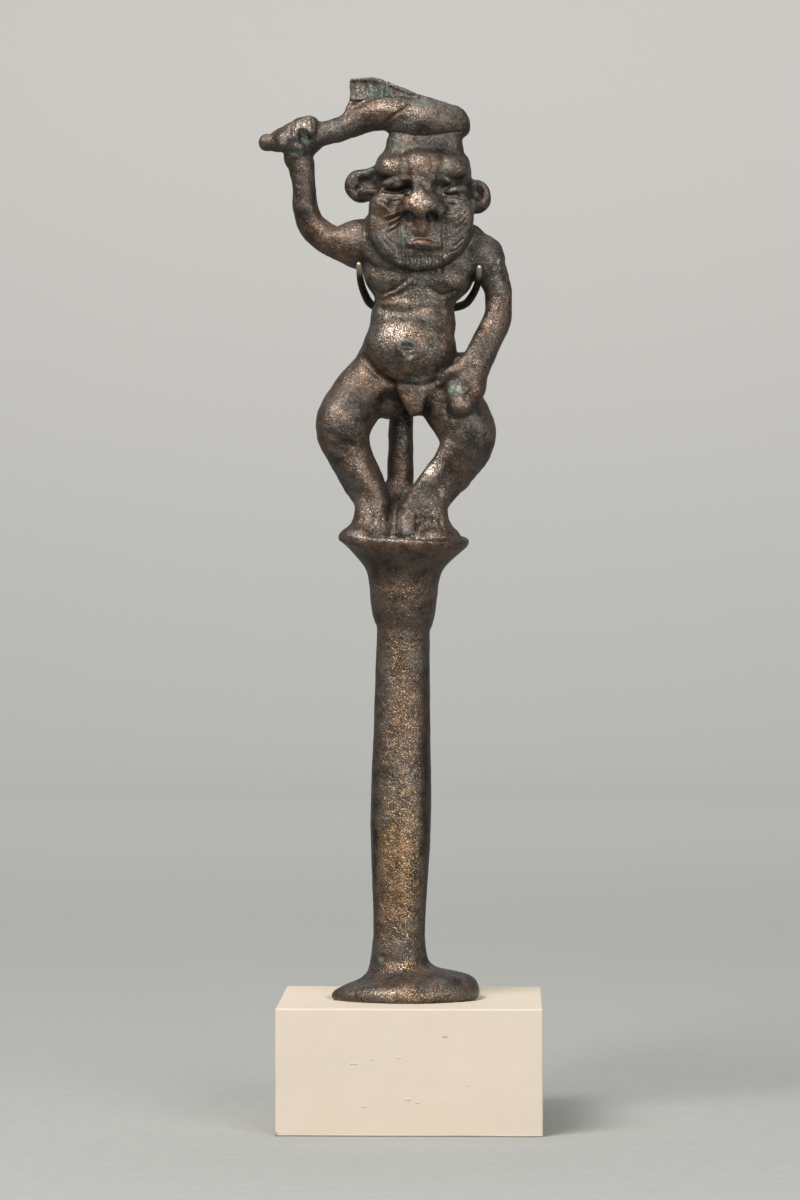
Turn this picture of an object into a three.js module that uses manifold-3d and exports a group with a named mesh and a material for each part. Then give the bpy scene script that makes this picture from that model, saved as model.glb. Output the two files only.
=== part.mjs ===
// A small cast bronze of the dwarf god Bes. He stands on a papyrus column and swings a short sword over a
// broken crown of feathers. The column's foot lies in a shallow bed cut in a painted block, and a rod that
// stands in the block behind the column carries two claws, which reach round the chest under the arms.
// Millimetres, +Z up, the figure looks along -Y. The origin is the middle of the block's underside.

import * as THREE from 'three';
import Module from 'manifold-3d';
import { mergeVertices } from 'three/addons/utils/BufferGeometryUtils.js';

const wasm = await Module();
wasm.setup();

// The painted block
const BLOCK_WIDTH = 44;
const BLOCK_DEPTH = 38;
const BLOCK_HEIGHT = 21;
const BLOCK_EDGE = 0.5; // rounding of its edges
const BED_DEPTH = 0.5; // the bed that the column's foot lies in
const BED_CLEARANCE = 0.5;

// The papyrus column, from the underside of its foot to the middle of the umbel's top
const COLUMN_X = -1; // the foot stands a little to the left on the block
const COLUMN_HEIGHT = 77.5;
const FOOT_RADIUS = 12.5; // across the front
const FOOT_DEPTH_RADIUS = 10; // front to back
const FOOT_EDGE = 2.4; // mean thickness of the foot's rim
const FOOT_SLANT = 1; // the rim is this much thicker at the right and thinner at the left
const FOOT_RISE = 5.2; // where the foot has run into the shaft
const SHAFT_BASE_RADIUS = 4.4;
const SHAFT_SWELL_RADIUS = 5.1;
const SHAFT_NECK_RADIUS = 4.45;
const SHAFT_SHIFT = -1.2; // the shaft's base stands left of the foot's middle
const SHAFT_LEAN = 1.04; // and leans back to the right by this much on its way up
const CALYX_RADIUS = 5.6; // the bound sheath under the umbel
const UMBEL_RADIUS = 10.7;
const UMBEL_RIM = 1.6; // thickness of the umbel's edge
const UMBEL_LIP = 0.45; // how far the edge stands up over the umbel's top
const UMBEL_SHIFT = 0.3; // the umbel's edge lies to the right of its stalk
const UMBEL_TILT = 4; // degrees that the umbel's top drops towards the front
const UMBEL_SLANT = 2.6; // and towards the viewer's right

// The figure. All its forms are shares of its height, from the umbel's top to the highest point.
const FIGURE_HEIGHT = 77.3;
const UNIT = FIGURE_HEIGHT / 100;

// The rod and its claws
const ROD_RADIUS = 1.2;
const ROD_SOCKET_DEPTH = 12;
const ROD_SOCKET_CLEARANCE = 0.3;
const ROD_CLEARANCE = 0.6; // between the rod and the widest part of the column in front of it
const CLAW_RADIUS = 0.6;

// Facets
const FINE_CELL = 1.3; // width of the figure's facets about the face and the feet
const COARSE_CELL = 2.1; // and elsewhere
const LATHE_SIDES = 24;
const WIRE_SIDES = 8;
const CLAW_STEPS = 14;

// Bones of the figure: [x, y, z, radius] in hundredths of its height, x to the viewer's right and y to the
// back, from the middle of the umbel's top. A chain of them is a limb.
const RIGHT_LEG = [[-5.5, 1.3, 36.1, 5.9], [-10.2, 0, 30.4, 6.3], [-13.2, -2.6, 24.2, 6.2],
  [-12, -1.7, 18.7, 5], [-8.8, 0.4, 12.2, 4.6], [-6.4, 1.3, 7.2, 4.2]];
const LEFT_LEG = [[6, 1.3, 35.6, 6.8], [10.3, 0, 29.3, 6.8], [13.6, -2.6, 22.6, 6.3], [12.4, -1.7, 17.4, 5.1],
  [8.7, 0.4, 12, 4.4], [5.7, 1.3, 7.2, 3.9]];
const RIGHT_FOOT = [[-5.8, 2.5, 2.6, 4.2], [-8, -3, -0.2, 4.9], [-8.2, -7.4, -1.4, 4]];
const LEFT_FOOT = [[5.4, 2.5, 2.4, 4.1], [6.6, -3, -0.8, 4.9], [7, -7.4, -1.8, 4]];
const SHOULDERS = [[-9.2, 0.9, 64, 5.4], [3.6, 1.3, 61.3, 5.2], [17, 0.9, 61.2, 4.5]];
const RAISED_ARM = [[-8.2, 0.9, 63.9, 5], [-12, 0.4, 64.1, 4.4], [-14.4, 0.1, 64.2, 3.7], [-17, -0.1, 65.3, 3.4],
  [-20.1, -0.4, 67.9, 3.2], [-21.6, -0.9, 71.7, 2.8], [-21.8, -0.9, 76, 2.55], [-22.5, -0.4, 81.2, 2.9]];
const HANGING_ARM = [[17, 0.9, 61.2, 4.5], [20, 0.4, 55, 3], [20.4, 0.4, 50.7, 2.9], [20.1, 0, 47, 3],
  [17.8, -1.7, 42.2, 3.1], [15.8, -4.3, 37.4, 3.1], [14.3, -5.6, 33.6, 3.3]];
const THUMB = [[14.2, -7.4, 37, 1.3], [8.2, -9, 33.3, 1.3]];
const SWORD = [[-29.4, 0, 86.4, 2.4], [-26.4, 0, 86.7, 2.7], [-22.3, 0, 87, 2.8], [-14.9, 0, 88.7, 2.4],
  [-11.4, 0, 90, 2.9], [-7.5, 0, 91.7, 3.4], [-2.7, -0.7, 92.4, 3.4], [1.6, -1.3, 92.2, 3]];
const TAIL = [[-0.5, 7, 31.1, 2.4], [-1, 7.2, 23.5, 2.7], [-1, 6, 8, 2.9], [-0.4, 4.4, 3, 3.6]];
const FLANK = [[-2.2, 0.6, 48, 5.2], [-3.4, 0.8, 44.5, 4.7], [-5, 1.2, 39.5, 4.9]];
const LOINS = [[1.4, -5.4, 31.3, 2.8], [2.3, -6.6, 27.8, 1.5]];
const BROW = [[-5, -6.4, 78.9, 1.7], [1.2, -7.7, 78.6, 1.8], [6, -7.7, 78.4, 1.8], [12.6, -6.2, 78.2, 1.7]];
const NOSE = [[2.9, -8.7, 76.1, 1.6], [3.6, -10.7, 71.3, 2.7]];
const NOSTRILS = [[0.8, -9.5, 70.3, 2.1], [6.4, -9.5, 70.1, 2.1]];
const LIPS = [[0.9, -9.6, 64, 1.6], [3.8, -10.1, 64.2, 1.7], [6.8, -9.6, 63.9, 1.6]];

// Rounded masses of the figure: centre and half sizes, in the same shares.
const PELVIS = { at: [0.5, 1.3, 34.4], half: [9.4, 6.1, 6.2] };
const BUTTOCKS = [
  { at: [-4.2, 5.4, 36.5], half: [5, 4.6, 5] },
  { at: [5.5, 5.4, 36.5], half: [5, 4.6, 5] },
];
const BELLY = { at: [1.1, -1.6, 40.9], half: [10.2, 7.4, 8.2] };
const RIBS = { at: [2, 0, 49.1], half: [8.8, 5.9, 8.7] };
const CHEST = { at: [2.9, -0.2, 56.6], half: [10.4, 6.1, 6.3] };
const BREASTS = [
  { at: [-3.2, -1.2, 56.8], half: [5.2, 4.3, 3.8] },
  { at: [9.2, -1.2, 56], half: [5.2, 4.2, 4] },
];
// Flesh that fills the corners: the crotch, under the hanging arm, between the shins, the waist, the shoulder.
const FILLS = [
  { at: [-3.6, 1.4, 29.4], half: [3.4, 4.4, 3.4] },
  { at: [12.6, -1, 37], half: [3.2, 3.4, 3.4] },
  { at: [2, 1.6, 8], half: [3.2, 3.8, 4] },
  { at: [4.4, -0.4, 45.6], half: [6.6, 5.2, 5] },
  { at: [14, 1, 65], half: [3.8, 3.8, 3.4] },
];
const RAISED_FIST = { at: [-22.4, 0, 87], half: [4.7, 4.2, 4.9] };
const RESTING_FIST = { at: [12.7, -7.2, 30.6], half: [3.8, 3.6, 4.6] };
const CRANIUM = { at: [3.7, 0, 76.3], half: [11, 8.7, 9.2] };
const CAP = { at: [3.4, 0, 80.6], half: [10.3, 7.8, 3.4] }; // the roll of hair over the forehead
const CAP_TOP = { at: [4.2, 0, 85.4], half: [8.1, 5.8, 3.4] };
const MANE = { at: [3.6, -0.4, 68.3], half: [11.2, 8.7, 10.3] };
const MASK = { at: [3.6, -3.9, 70.9], half: [9.6, 5.7, 10.8] };
const CHEEKS = [
  { at: [-3, -6.2, 71], half: [3.7, 3.5, 3.2] },
  { at: [10.3, -6.2, 70.8], half: [3.7, 3.5, 3.2] },
];
const EARS = [
  { at: [-9.3, 0.4, 76.6], half: [3.8, 1.6, 3.7] },
  { at: [15.7, 0.4, 74.3], half: [3.2, 1.6, 3.7] },
];
const SOCKETS = [
  { at: [-2.1, -10, 75.5], half: [3.6, 2.6, 2] },
  { at: [10.3, -10, 75.2], half: [3.6, 2.6, 2] },
];
const EYES = [
  { at: [-2.1, -7.2, 75.3], half: [2.3, 1.6, 1.4] },
  { at: [10.5, -7.2, 75], half: [2.3, 1.6, 1.4] },
];
const NAVEL = { at: [0.8, -9, 41.3], half: [2, 1.6, 1.7] };
const COLLAR = { at: [4.7, 0, 89.3], half: [8.9, 5.9, 3.5] }; // the roll at the crown's base

// The stub of the feathered crown, an upright plate: its outline as [x, z], broken along the top.
const FEATHERS = [[-11.9, 95], [-11.7, 99.7], [-8.2, 100], [-4.7, 99.5], [-1.2, 97.9], [2.3, 96.7], [7.4, 94.9],
  [11.4, 93.6], [12.5, 91.9], [12.5, 89.5], [-2.7, 89.1], [-10.5, 89.6], [-13.9, 91.2], [-12.8, 93.5]];
const FEATHERS_HALF_THICKNESS = 1.9;
const SOLE_SINK = 1; // how far the soles reach into the umbel

// Where the width of the figure's facets changes, clear of it at both ends.
const FACET_BANDS_X = [-36, -13, 20, 28];
const FACET_BANDS_Y = [-16, 0, 16];
const FACET_BANDS_Z = [-5, 8, 58, 94, 104];

// Distances, negative inside. Each takes a point in the figure's shares.

// A chain of bones: at each bone the radius runs evenly from one station to the next.
function chain(x, y, z, stations) {
  let nearest = Infinity;
  for (let i = 1; i < stations.length; i++) {
    const [ax, ay, az, ar] = stations[i - 1];
    const [bx, by, bz, br] = stations[i];
    const [ux, uy, uz] = [bx - ax, by - ay, bz - az];
    const along = ((x - ax) * ux + (y - ay) * uy + (z - az) * uz) / (ux * ux + uy * uy + uz * uz);
    const t = Math.min(Math.max(along, 0), 1);
    const gap = Math.hypot(x - ax - ux * t, y - ay - uy * t, z - az - uz * t) - (ar + (br - ar) * t);
    nearest = Math.min(nearest, gap);
  }
  return nearest;
}

// A rounded mass, as an ellipsoid.
function mass(x, y, z, { at, half }) {
  const [px, py, pz] = [(x - at[0]) / half[0], (y - at[1]) / half[1], (z - at[2]) / half[2]];
  const reach = Math.hypot(px, py, pz);
  if (reach === 0) return -Math.min(...half);
  return (reach * (reach - 1)) / Math.hypot(px / half[0], py / half[1], pz / half[2]);
}

// A flat round cushion: an ellipse seen from above, with a half-round edge.
function cushion(x, y, z, { at, half }) {
  const [px, py] = [x - at[0], y - at[1]];
  const [rx, ry] = [half[0] - half[2], half[1] - half[2]];
  const reach = Math.hypot(px / rx, py / ry);
  const side = reach === 0 ? -ry : (reach * (reach - 1)) / Math.hypot(px / rx ** 2, py / ry ** 2);
  return Math.hypot(Math.max(side, 0), z - at[2]) - half[2];
}

// An upright plate with the outline [x, z] and a half thickness along y.
function plate(x, y, z, outline, halfThickness) {
  let nearest = Infinity;
  let inside = false;
  outline.forEach(([ax, az], i) => {
    const [bx, bz] = outline[(i + 1) % outline.length];
    const [ux, uz] = [bx - ax, bz - az];
    const t = Math.min(Math.max(((x - ax) * ux + (z - az) * uz) / (ux * ux + uz * uz), 0), 1);
    nearest = Math.min(nearest, Math.hypot(x - ax - ux * t, z - az - uz * t));
    if ((az > z) !== (bz > z) && x < ax + (ux * (z - az)) / uz) inside = !inside;
  });
  const rounding = halfThickness / 2;
  const side = (inside ? -nearest : nearest) + rounding;
  const face = Math.abs(y) - halfThickness + rounding;
  return Math.hypot(Math.max(side, 0), Math.max(face, 0)) + Math.min(Math.max(side, face), 0) - rounding;
}

// Joins two forms with a fillet about as wide as blend, and cuts the second out of the first.
function join(a, b, blend) {
  const near = Math.max(blend - Math.abs(a - b), 0) / blend;
  return Math.min(a, b) - (near * near * blend) / 4;
}

function carve(a, b, blend) {
  return -join(-a, b, blend);
}

// The height of the umbel's leaning top over a place on it.
function umbelTop(x, y) {
  const [tilt, slant] = [UMBEL_TILT, UMBEL_SLANT].map(THREE.MathUtils.degToRad);
  return y * Math.tan(tilt) - x * Math.tan(slant);
}

function feet(x, y, z) {
  const sole = umbelTop(x, y) - SOLE_SINK - z;
  return Math.max(Math.min(chain(x, y, z, RIGHT_FOOT), chain(x, y, z, LEFT_FOOT)), sole);
}

function body(x, y, z) {
  let form = join(mass(x, y, z, BELLY), mass(x, y, z, RIBS), 3);
  form = join(form, mass(x, y, z, CHEST), 2.5);
  form = join(form, chain(x, y, z, SHOULDERS), 3);
  form = join(form, mass(x, y, z, PELVIS), 2);
  for (const breast of BREASTS) form = join(form, mass(x, y, z, breast), 2.5);
  form = join(form, chain(x, y, z, FLANK), 1);
  for (const fill of FILLS) form = join(form, mass(x, y, z, fill), 1.2);
  for (const leg of [RIGHT_LEG, LEFT_LEG]) form = join(form, chain(x, y, z, leg), 2);
  for (const buttock of BUTTOCKS) form = join(form, mass(x, y, z, buttock), 2.5);
  form = join(form, feet(x, y, z), 2);
  form = join(form, chain(x, y, z, LOINS), 1.5);
  form = join(form, chain(x, y, z, TAIL), 1.5);
  return carve(form, mass(x, y, z, NAVEL), 1);
}

function arms(x, y, z) {
  const striking = join(chain(x, y, z, RAISED_ARM), mass(x, y, z, RAISED_FIST), 2);
  const hanging = join(chain(x, y, z, HANGING_ARM), mass(x, y, z, RESTING_FIST), 2.5);
  return Math.min(striking, join(hanging, chain(x, y, z, THUMB), 1));
}

function head(x, y, z) {
  let form = join(mass(x, y, z, CRANIUM), mass(x, y, z, MANE), 2);
  form = join(form, cushion(x, y, z, CAP), 1.5);
  form = join(form, cushion(x, y, z, CAP_TOP), 1.5);
  form = join(form, mass(x, y, z, MASK), 2);
  for (const cheek of CHEEKS) form = join(form, mass(x, y, z, cheek), 1.5);
  form = join(form, chain(x, y, z, BROW), 1.5);
  for (const socket of SOCKETS) form = carve(form, mass(x, y, z, socket), 1.2);
  for (const eye of EYES) form = join(form, mass(x, y, z, eye), 0.6);
  form = join(form, chain(x, y, z, NOSE), 1.2);
  for (const nostril of NOSTRILS) form = join(form, chain(x, y, z, [nostril, NOSE[1]]), 1);
  form = join(form, chain(x, y, z, LIPS), 1);
  for (const ear of EARS) form = join(form, mass(x, y, z, ear), 1);
  return form;
}

function crown(x, y, z) {
  const stub = join(plate(x, y, z, FEATHERS, FEATHERS_HALF_THICKNESS), chain(x, y, z, SWORD), 1.2);
  return join(stub, cushion(x, y, z, COLLAR), 1.5);
}

function figure(x, y, z) {
  let form = join(body(x, y, z), arms(x, y, z), 1.8);
  form = join(form, head(x, y, z), 1.2);
  return join(form, crown(x, y, z), 1.2);
}

// Which way is out at a point, and how steeply the distance grows there.
function slope(form, [x, y, z], step) {
  return [form(x + step, y, z) - form(x - step, y, z), form(x, y + step, z) - form(x, y - step, z),
    form(x, y, z + step) - form(x, y, z - step)].map((rise) => rise / (2 * step));
}

// Grid lines through the given marks, evenly placed between two marks and at most a cell apart there.
function gridLines(marks, cells) {
  const lines = [marks[0]];
  cells.forEach((cell, n) => {
    const count = Math.ceil(((marks[n + 1] - marks[n]) * UNIT) / cell);
    for (let i = 1; i <= count; i++) lines.push(marks[n] + ((marks[n + 1] - marks[n]) * i) / count);
  });
  return lines;
}

// The skin of a form as a closed mesh: one vertex in each grid cell that the surface crosses, drawn on to
// the surface, and two triangles across each grid line that it crosses.
function skin(form, xs, ys, zs) {
  const [nx, ny, nz] = [xs.length, ys.length, zs.length];
  const strides = [1, nx, nx * ny];
  const values = new Float64Array(nx * ny * nz);
  for (let k = 0, n = 0; k < nz; k++)
    for (let j = 0; j < ny; j++) for (let i = 0; i < nx; i++, n++) values[n] = form(xs[i], ys[j], zs[k]);
  fillPinches(values, [nx, ny, nz], strides);

  const positions = [];
  const vertexOf = new Int32Array(values.length).fill(-1);
  const corners = [...Array(8).keys()].map((c) => [c & 1, (c >> 1) & 1, c >> 2]);
  for (let k = 0; k < nz - 1; k++)
    for (let j = 0; j < ny - 1; j++)
      for (let i = 0; i < nx - 1; i++) {
        const n = i + j * strides[1] + k * strides[2];
        const at = corners.map(([a, b, c]) => values[n + a + b * strides[1] + c * strides[2]]);
        const inside = at.filter((value) => value < 0).length;
        if (inside === 0 || inside === 8) continue;
        const sum = [0, 0, 0];
        let crossings = 0;
        corners.forEach((corner, p) => {
          for (const bit of [1, 2, 4]) {
            const q = p | bit;
            if (q === p || at[p] < 0 === at[q] < 0) continue;
            const t = at[p] / (at[p] - at[q]);
            const ends = [corner, corners[q]].map(([a, b, c]) => [xs[i + a], ys[j + b], zs[k + c]]);
            ends[0].forEach((start, axis) => (sum[axis] += start + (ends[1][axis] - start) * t));
            crossings++;
          }
        });
        vertexOf[n] = positions.length;
        positions.push(drawOn(form, sum.map((total) => total / crossings), xs[i + 1] - xs[i]));
      }

  const triangles = [];
  for (let k = 1; k < nz - 1; k++)
    for (let j = 1; j < ny - 1; j++)
      for (let i = 1; i < nx - 1; i++) {
        const n = i + j * strides[1] + k * strides[2];
        for (let axis = 0; axis < 3; axis++) {
          const out = values[n] < 0;
          if (out === values[n + strides[axis]] < 0) continue;
          const [u, v] = [strides[(axis + 1) % 3], strides[(axis + 2) % 3]];
          const ring = [n, n - u, n - u - v, n - v].map((cell) => vertexOf[cell]);
          if (!out) ring.reverse();
          const span = (a, b) => Math.hypot(...positions[ring[a]].map((p, m) => p - positions[ring[b]][m]));
          const turn = span(0, 2) < span(1, 3) ? 0 : 1;
          const [a, b, c, d] = [...ring.slice(turn), ...ring.slice(0, turn)];
          triangles.push(a, b, c, a, c, d);
        }
      }
  const geometry = new THREE.BufferGeometry();
  geometry.setAttribute('position', new THREE.Float32BufferAttribute(positions.flat(), 3));
  geometry.setIndex(triangles);
  return geometry;
}

// Where two filled corners of a grid square meet only at its diagonal, the surface would touch itself. The
// one of the two others that lies closer to the surface is filled too.
function fillPinches(values, counts, strides) {
  const filled = (n) => values[n] < 0;
  for (let again = true; again; ) {
    again = false;
    for (let axis = 0; axis < 3; axis++) {
      const [u, v] = [strides[(axis + 1) % 3], strides[(axis + 2) % 3]];
      for (let n = 0; n < values.length - u - v; n++) {
        const face = [n, n + u, n + u + v, n + v];
        if (filled(face[0]) !== filled(face[2]) || filled(face[1]) !== filled(face[3])) continue;
        if (filled(face[0]) === filled(face[1])) continue;
        const empty = face.filter((corner) => !filled(corner)).sort((a, b) => values[a] - values[b]);
        values[empty[0]] = -Math.max(values[empty[0]], 1e-3);
        again = true;
      }
    }
  }
}

// Moves a point along the slope until it lies on the form's surface, by at most half a cell.
function drawOn(form, point, cell) {
  let moved = point;
  for (let pass = 0; pass < 3; pass++) {
    const out = slope(form, moved, cell / 20);
    const steep = Math.max(out[0] ** 2 + out[1] ** 2 + out[2] ** 2, 0.25);
    const gap = form(...moved);
    moved = moved.map((p, axis) => p - (out[axis] * gap) / steep);
  }
  const far = Math.hypot(...moved.map((p, axis) => p - point[axis]));
  return far < cell / 2 ? moved : point;
}

// Between a closed geometry and a solid that can be joined and cut.
function solid(geometry) {
  const bare = geometry.clone();
  bare.deleteAttribute('normal');
  bare.deleteAttribute('uv');
  const merged = mergeVertices(bare, 1e-5);
  const index = merged.index.array;
  const triangles = [];
  for (let i = 0; i < index.length; i += 3) {
    const [a, b, c] = index.slice(i, i + 3);
    if (a !== b && b !== c && c !== a) triangles.push(a, b, c);
  }
  const vertProperties = new Float32Array(merged.attributes.position.array);
  const triVerts = new Uint32Array(triangles);
  return new wasm.Manifold(new wasm.Mesh({ numProp: 3, vertProperties, triVerts }));
}

function geometryOf(shape) {
  const { vertProperties, triVerts } = shape.getMesh();
  const geometry = new THREE.BufferGeometry();
  geometry.setAttribute('position', new THREE.BufferAttribute(vertProperties, 3));
  geometry.setIndex(new THREE.BufferAttribute(triVerts, 1));
  return geometry;
}

// Applies a function of (x, y, z) to every point of a geometry.
function bend(geometry, move) {
  const position = geometry.attributes.position;
  for (let i = 0; i < position.count; i++)
    position.setXYZ(i, ...move(position.getX(i), position.getY(i), position.getZ(i)));
  return geometry;
}

// A turned form about +Z, from its profile as [radius, height] pairs that start and end on the axis.
function turned(profile, sides) {
  const points = profile.map(([radius, height]) => new THREE.Vector2(radius, height));
  return new THREE.LatheGeometry(points, sides).rotateX(Math.PI / 2);
}

const shaftLeanAt = (height) => SHAFT_SHIFT + (SHAFT_LEAN * height) / COLUMN_HEIGHT;

function columnShaft() {
  const rise = (share, radius) => new THREE.Vector2(radius, COLUMN_HEIGHT * share);
  const shaft = new THREE.SplineCurve([
    rise(0.03, SHAFT_BASE_RADIUS), rise(0.18, SHAFT_BASE_RADIUS), rise(0.38, SHAFT_SWELL_RADIUS),
    rise(0.59, (SHAFT_SWELL_RADIUS + SHAFT_NECK_RADIUS) / 2), rise(0.79, SHAFT_NECK_RADIUS),
  ]).getPoints(9);
  const bell = new THREE.SplineCurve([
    rise(0.82, (SHAFT_NECK_RADIUS + CALYX_RADIUS) / 2), rise(0.87, CALYX_RADIUS), rise(0.92, CALYX_RADIUS * 1.08),
    rise(0.951, (CALYX_RADIUS + UMBEL_RADIUS) * 0.46),
    new THREE.Vector2(UMBEL_RADIUS - UMBEL_RIM / 2, COLUMN_HEIGHT - UMBEL_RIM),
  ]).getPoints(8);
  const rim = [[UMBEL_RADIUS, COLUMN_HEIGHT - UMBEL_RIM / 2], [UMBEL_RADIUS, COLUMN_HEIGHT],
    [UMBEL_RADIUS - UMBEL_RIM / 4, COLUMN_HEIGHT + UMBEL_LIP], [UMBEL_RADIUS - UMBEL_RIM * 1.5, COLUMN_HEIGHT]];
  const side = [...shaft, ...bell].map((point) => point.toArray());
  const profile = [[0, side[0][1]], ...side, ...rim, [0, COLUMN_HEIGHT]];
  const bellFoot = COLUMN_HEIGHT * 0.9;
  return bend(turned(profile, LATHE_SIDES), (x, y, z) => {
    const opened = Math.max(z - bellFoot, 0) / (COLUMN_HEIGHT - bellFoot);
    return [x + shaftLeanAt(z) + UMBEL_SHIFT * opened, y, z + umbelTop(x, y) * opened];
  });
}

function columnFoot() {
  const profile = [
    [0, 0], [FOOT_RADIUS - 0.3, 0], [FOOT_RADIUS, FOOT_EDGE * 0.3], [FOOT_RADIUS - 0.1, FOOT_EDGE * 0.8],
    [FOOT_RADIUS * 0.94, FOOT_EDGE * 1.2], [FOOT_RADIUS * 0.78, FOOT_EDGE * 1.55],
    [FOOT_RADIUS * 0.6, FOOT_EDGE * 1.85],
    [SHAFT_BASE_RADIUS + 1.6, FOOT_RISE], [SHAFT_BASE_RADIUS + 0.5, FOOT_RISE * 1.2],
    [SHAFT_BASE_RADIUS - 0.1, FOOT_RISE * 1.5], [0, FOOT_RISE * 1.5],
  ];
  return bend(turned(profile, LATHE_SIDES), (x, y, z) => {
    const outward = Math.min(Math.hypot(x, y) / FOOT_RADIUS, 1);
    const raised = Math.min(z / FOOT_EDGE, 1);
    const drawnIn = SHAFT_SHIFT * Math.min(2 - 2 * outward, 1) * raised;
    const depthShare = 1 + (FOOT_DEPTH_RADIUS / FOOT_RADIUS - 1) * outward ** 2;
    return [x + drawnIn, y * depthShare, z + (FOOT_SLANT * x * raised) / FOOT_RADIUS];
  });
}

// The figure's skin, in millimetres about the middle of the umbel's top.
function figureSkin() {
  const [fine, coarse] = [FINE_CELL, COARSE_CELL];
  const xs = gridLines(FACET_BANDS_X, [coarse, fine, coarse]);
  const ys = gridLines(FACET_BANDS_Y, [fine, coarse]);
  const zs = gridLines(FACET_BANDS_Z, [fine, coarse * 1.2, fine, coarse]);
  return skin(figure, xs, ys, zs).scale(UNIT, UNIT, UNIT);
}

const bronzeFloor = BLOCK_HEIGHT - BED_DEPTH;
const figureOrigin = new THREE.Vector3(COLUMN_X + shaftLeanAt(COLUMN_HEIGHT), 0, bronzeFloor + COLUMN_HEIGHT);
const rodY = Math.max(UMBEL_RADIUS, FOOT_DEPTH_RADIUS + BED_CLEARANCE) + ROD_CLEARANCE + ROD_RADIUS;
const rodX = figureOrigin.x + TAIL[1][0] * UNIT;

function bronze() {
  const [dx, , dz] = figureOrigin.toArray();
  const man = solid(figureSkin().translate(dx, 0, dz));
  const shaft = solid(columnShaft().translate(COLUMN_X, 0, bronzeFloor));
  const foot = solid(columnFoot().translate(COLUMN_X, 0, bronzeFloor));
  return geometryOf(man.add(shaft).add(foot));
}

// Where each claw runs in the figure's shares, from behind the back, round the side of the chest, to its tip
// in front of the armpit.
const CLAW_LEVEL = 50.6;
const LEFT_CLAW = [[-3, 11, CLAW_LEVEL], [-5.8, 8.4, 50.7], [-7.6, 5, 51.4], [-8.6, 1.6, 53],
  [-9.3, -1.6, 55], [-9.6, -4.6, 57], [-9.7, -6.3, 59.1]];
const RIGHT_CLAW = [[5, 11, CLAW_LEVEL], [9.6, 8.4, 50.6], [12.8, 5, 51.1], [14.4, 1.8, 52.4],
  [15.6, -1.2, 54.4], [16.2, -4.2, 56.4], [16.3, -6, 58.4]];

function claw(stations) {
  const start = new THREE.Vector3(rodX, rodY, figureOrigin.z + CLAW_LEVEL * UNIT);
  const placed = stations.map((at) => new THREE.Vector3(...at).multiplyScalar(UNIT).add(figureOrigin));
  const line = new THREE.CatmullRomCurve3([start, ...placed]);
  const section = new THREE.Shape().absarc(0, 0, CLAW_RADIUS, 0, Math.PI * 2);
  const wire = new THREE.ExtrudeGeometry(section, {
    extrudePath: line,
    steps: CLAW_STEPS,
    curveSegments: WIRE_SIDES / 2,
    bevelEnabled: false,
  });
  const tip = new THREE.SphereGeometry(CLAW_RADIUS, WIRE_SIDES, WIRE_SIDES / 2);
  tip.translate(...line.getPoint(1).toArray());
  return solid(wire).add(solid(tip));
}

function rodAndClaws() {
  const bottom = BLOCK_HEIGHT - ROD_SOCKET_DEPTH + ROD_SOCKET_CLEARANCE;
  const top = figureOrigin.z + (CLAW_LEVEL + 1.5) * UNIT;
  const rod = new THREE.CylinderGeometry(ROD_RADIUS, ROD_RADIUS, top - bottom, WIRE_SIDES * 2);
  rod.rotateX(Math.PI / 2).translate(rodX, rodY, (top + bottom) / 2);
  return geometryOf(solid(rod).add(claw(LEFT_CLAW)).add(claw(RIGHT_CLAW)));
}

function block() {
  const [w, d] = [BLOCK_WIDTH / 2 - BLOCK_EDGE, BLOCK_DEPTH / 2 - BLOCK_EDGE];
  const outline = new THREE.Shape([[-w, -d], [w, -d], [w, d], [-w, d]].map((p) => new THREE.Vector2(...p)));
  const body = new THREE.ExtrudeGeometry(outline, {
    depth: BLOCK_HEIGHT - 2 * BLOCK_EDGE,
    bevelThickness: BLOCK_EDGE,
    bevelSize: BLOCK_EDGE,
    bevelSegments: 2,
  }).translate(0, 0, BLOCK_EDGE);
  const bed = new THREE.CylinderGeometry(1, 1, 2 * BED_DEPTH, LATHE_SIDES * 2).rotateX(Math.PI / 2);
  bed.scale(FOOT_RADIUS + BED_CLEARANCE, FOOT_DEPTH_RADIUS + BED_CLEARANCE, 1);
  bed.translate(COLUMN_X, 0, BLOCK_HEIGHT);
  const socketRadius = ROD_RADIUS + ROD_SOCKET_CLEARANCE;
  const socket = new THREE.CylinderGeometry(socketRadius, socketRadius, 2 * ROD_SOCKET_DEPTH, WIRE_SIDES * 2);
  socket.rotateX(Math.PI / 2).translate(rodX, rodY, BLOCK_HEIGHT);
  return geometryOf(solid(body).subtract(solid(bed)).subtract(solid(socket)));
}

const bronzeMaterial = new THREE.MeshStandardMaterial({ color: 0x4a3f35, roughness: 0.45, metalness: 0.85 });
const rodMaterial = new THREE.MeshStandardMaterial({ color: 0x2b2420, roughness: 0.5, metalness: 0.7 });
const paintMaterial = new THREE.MeshStandardMaterial({ color: 0xe6d9c3, roughness: 0.85, metalness: 0 });

const model = new THREE.Group();
for (const [name, geometry, material] of [
  ['bes_bronze', bronze(), bronzeMaterial],
  ['rod_and_claws', rodAndClaws(), rodMaterial],
  ['mount_block', block(), paintMaterial],
]) {
  const mesh = new THREE.Mesh(geometry, material);
  mesh.name = name;
  model.add(mesh);
}

export default model;
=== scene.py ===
import math
from typing import NamedTuple

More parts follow.
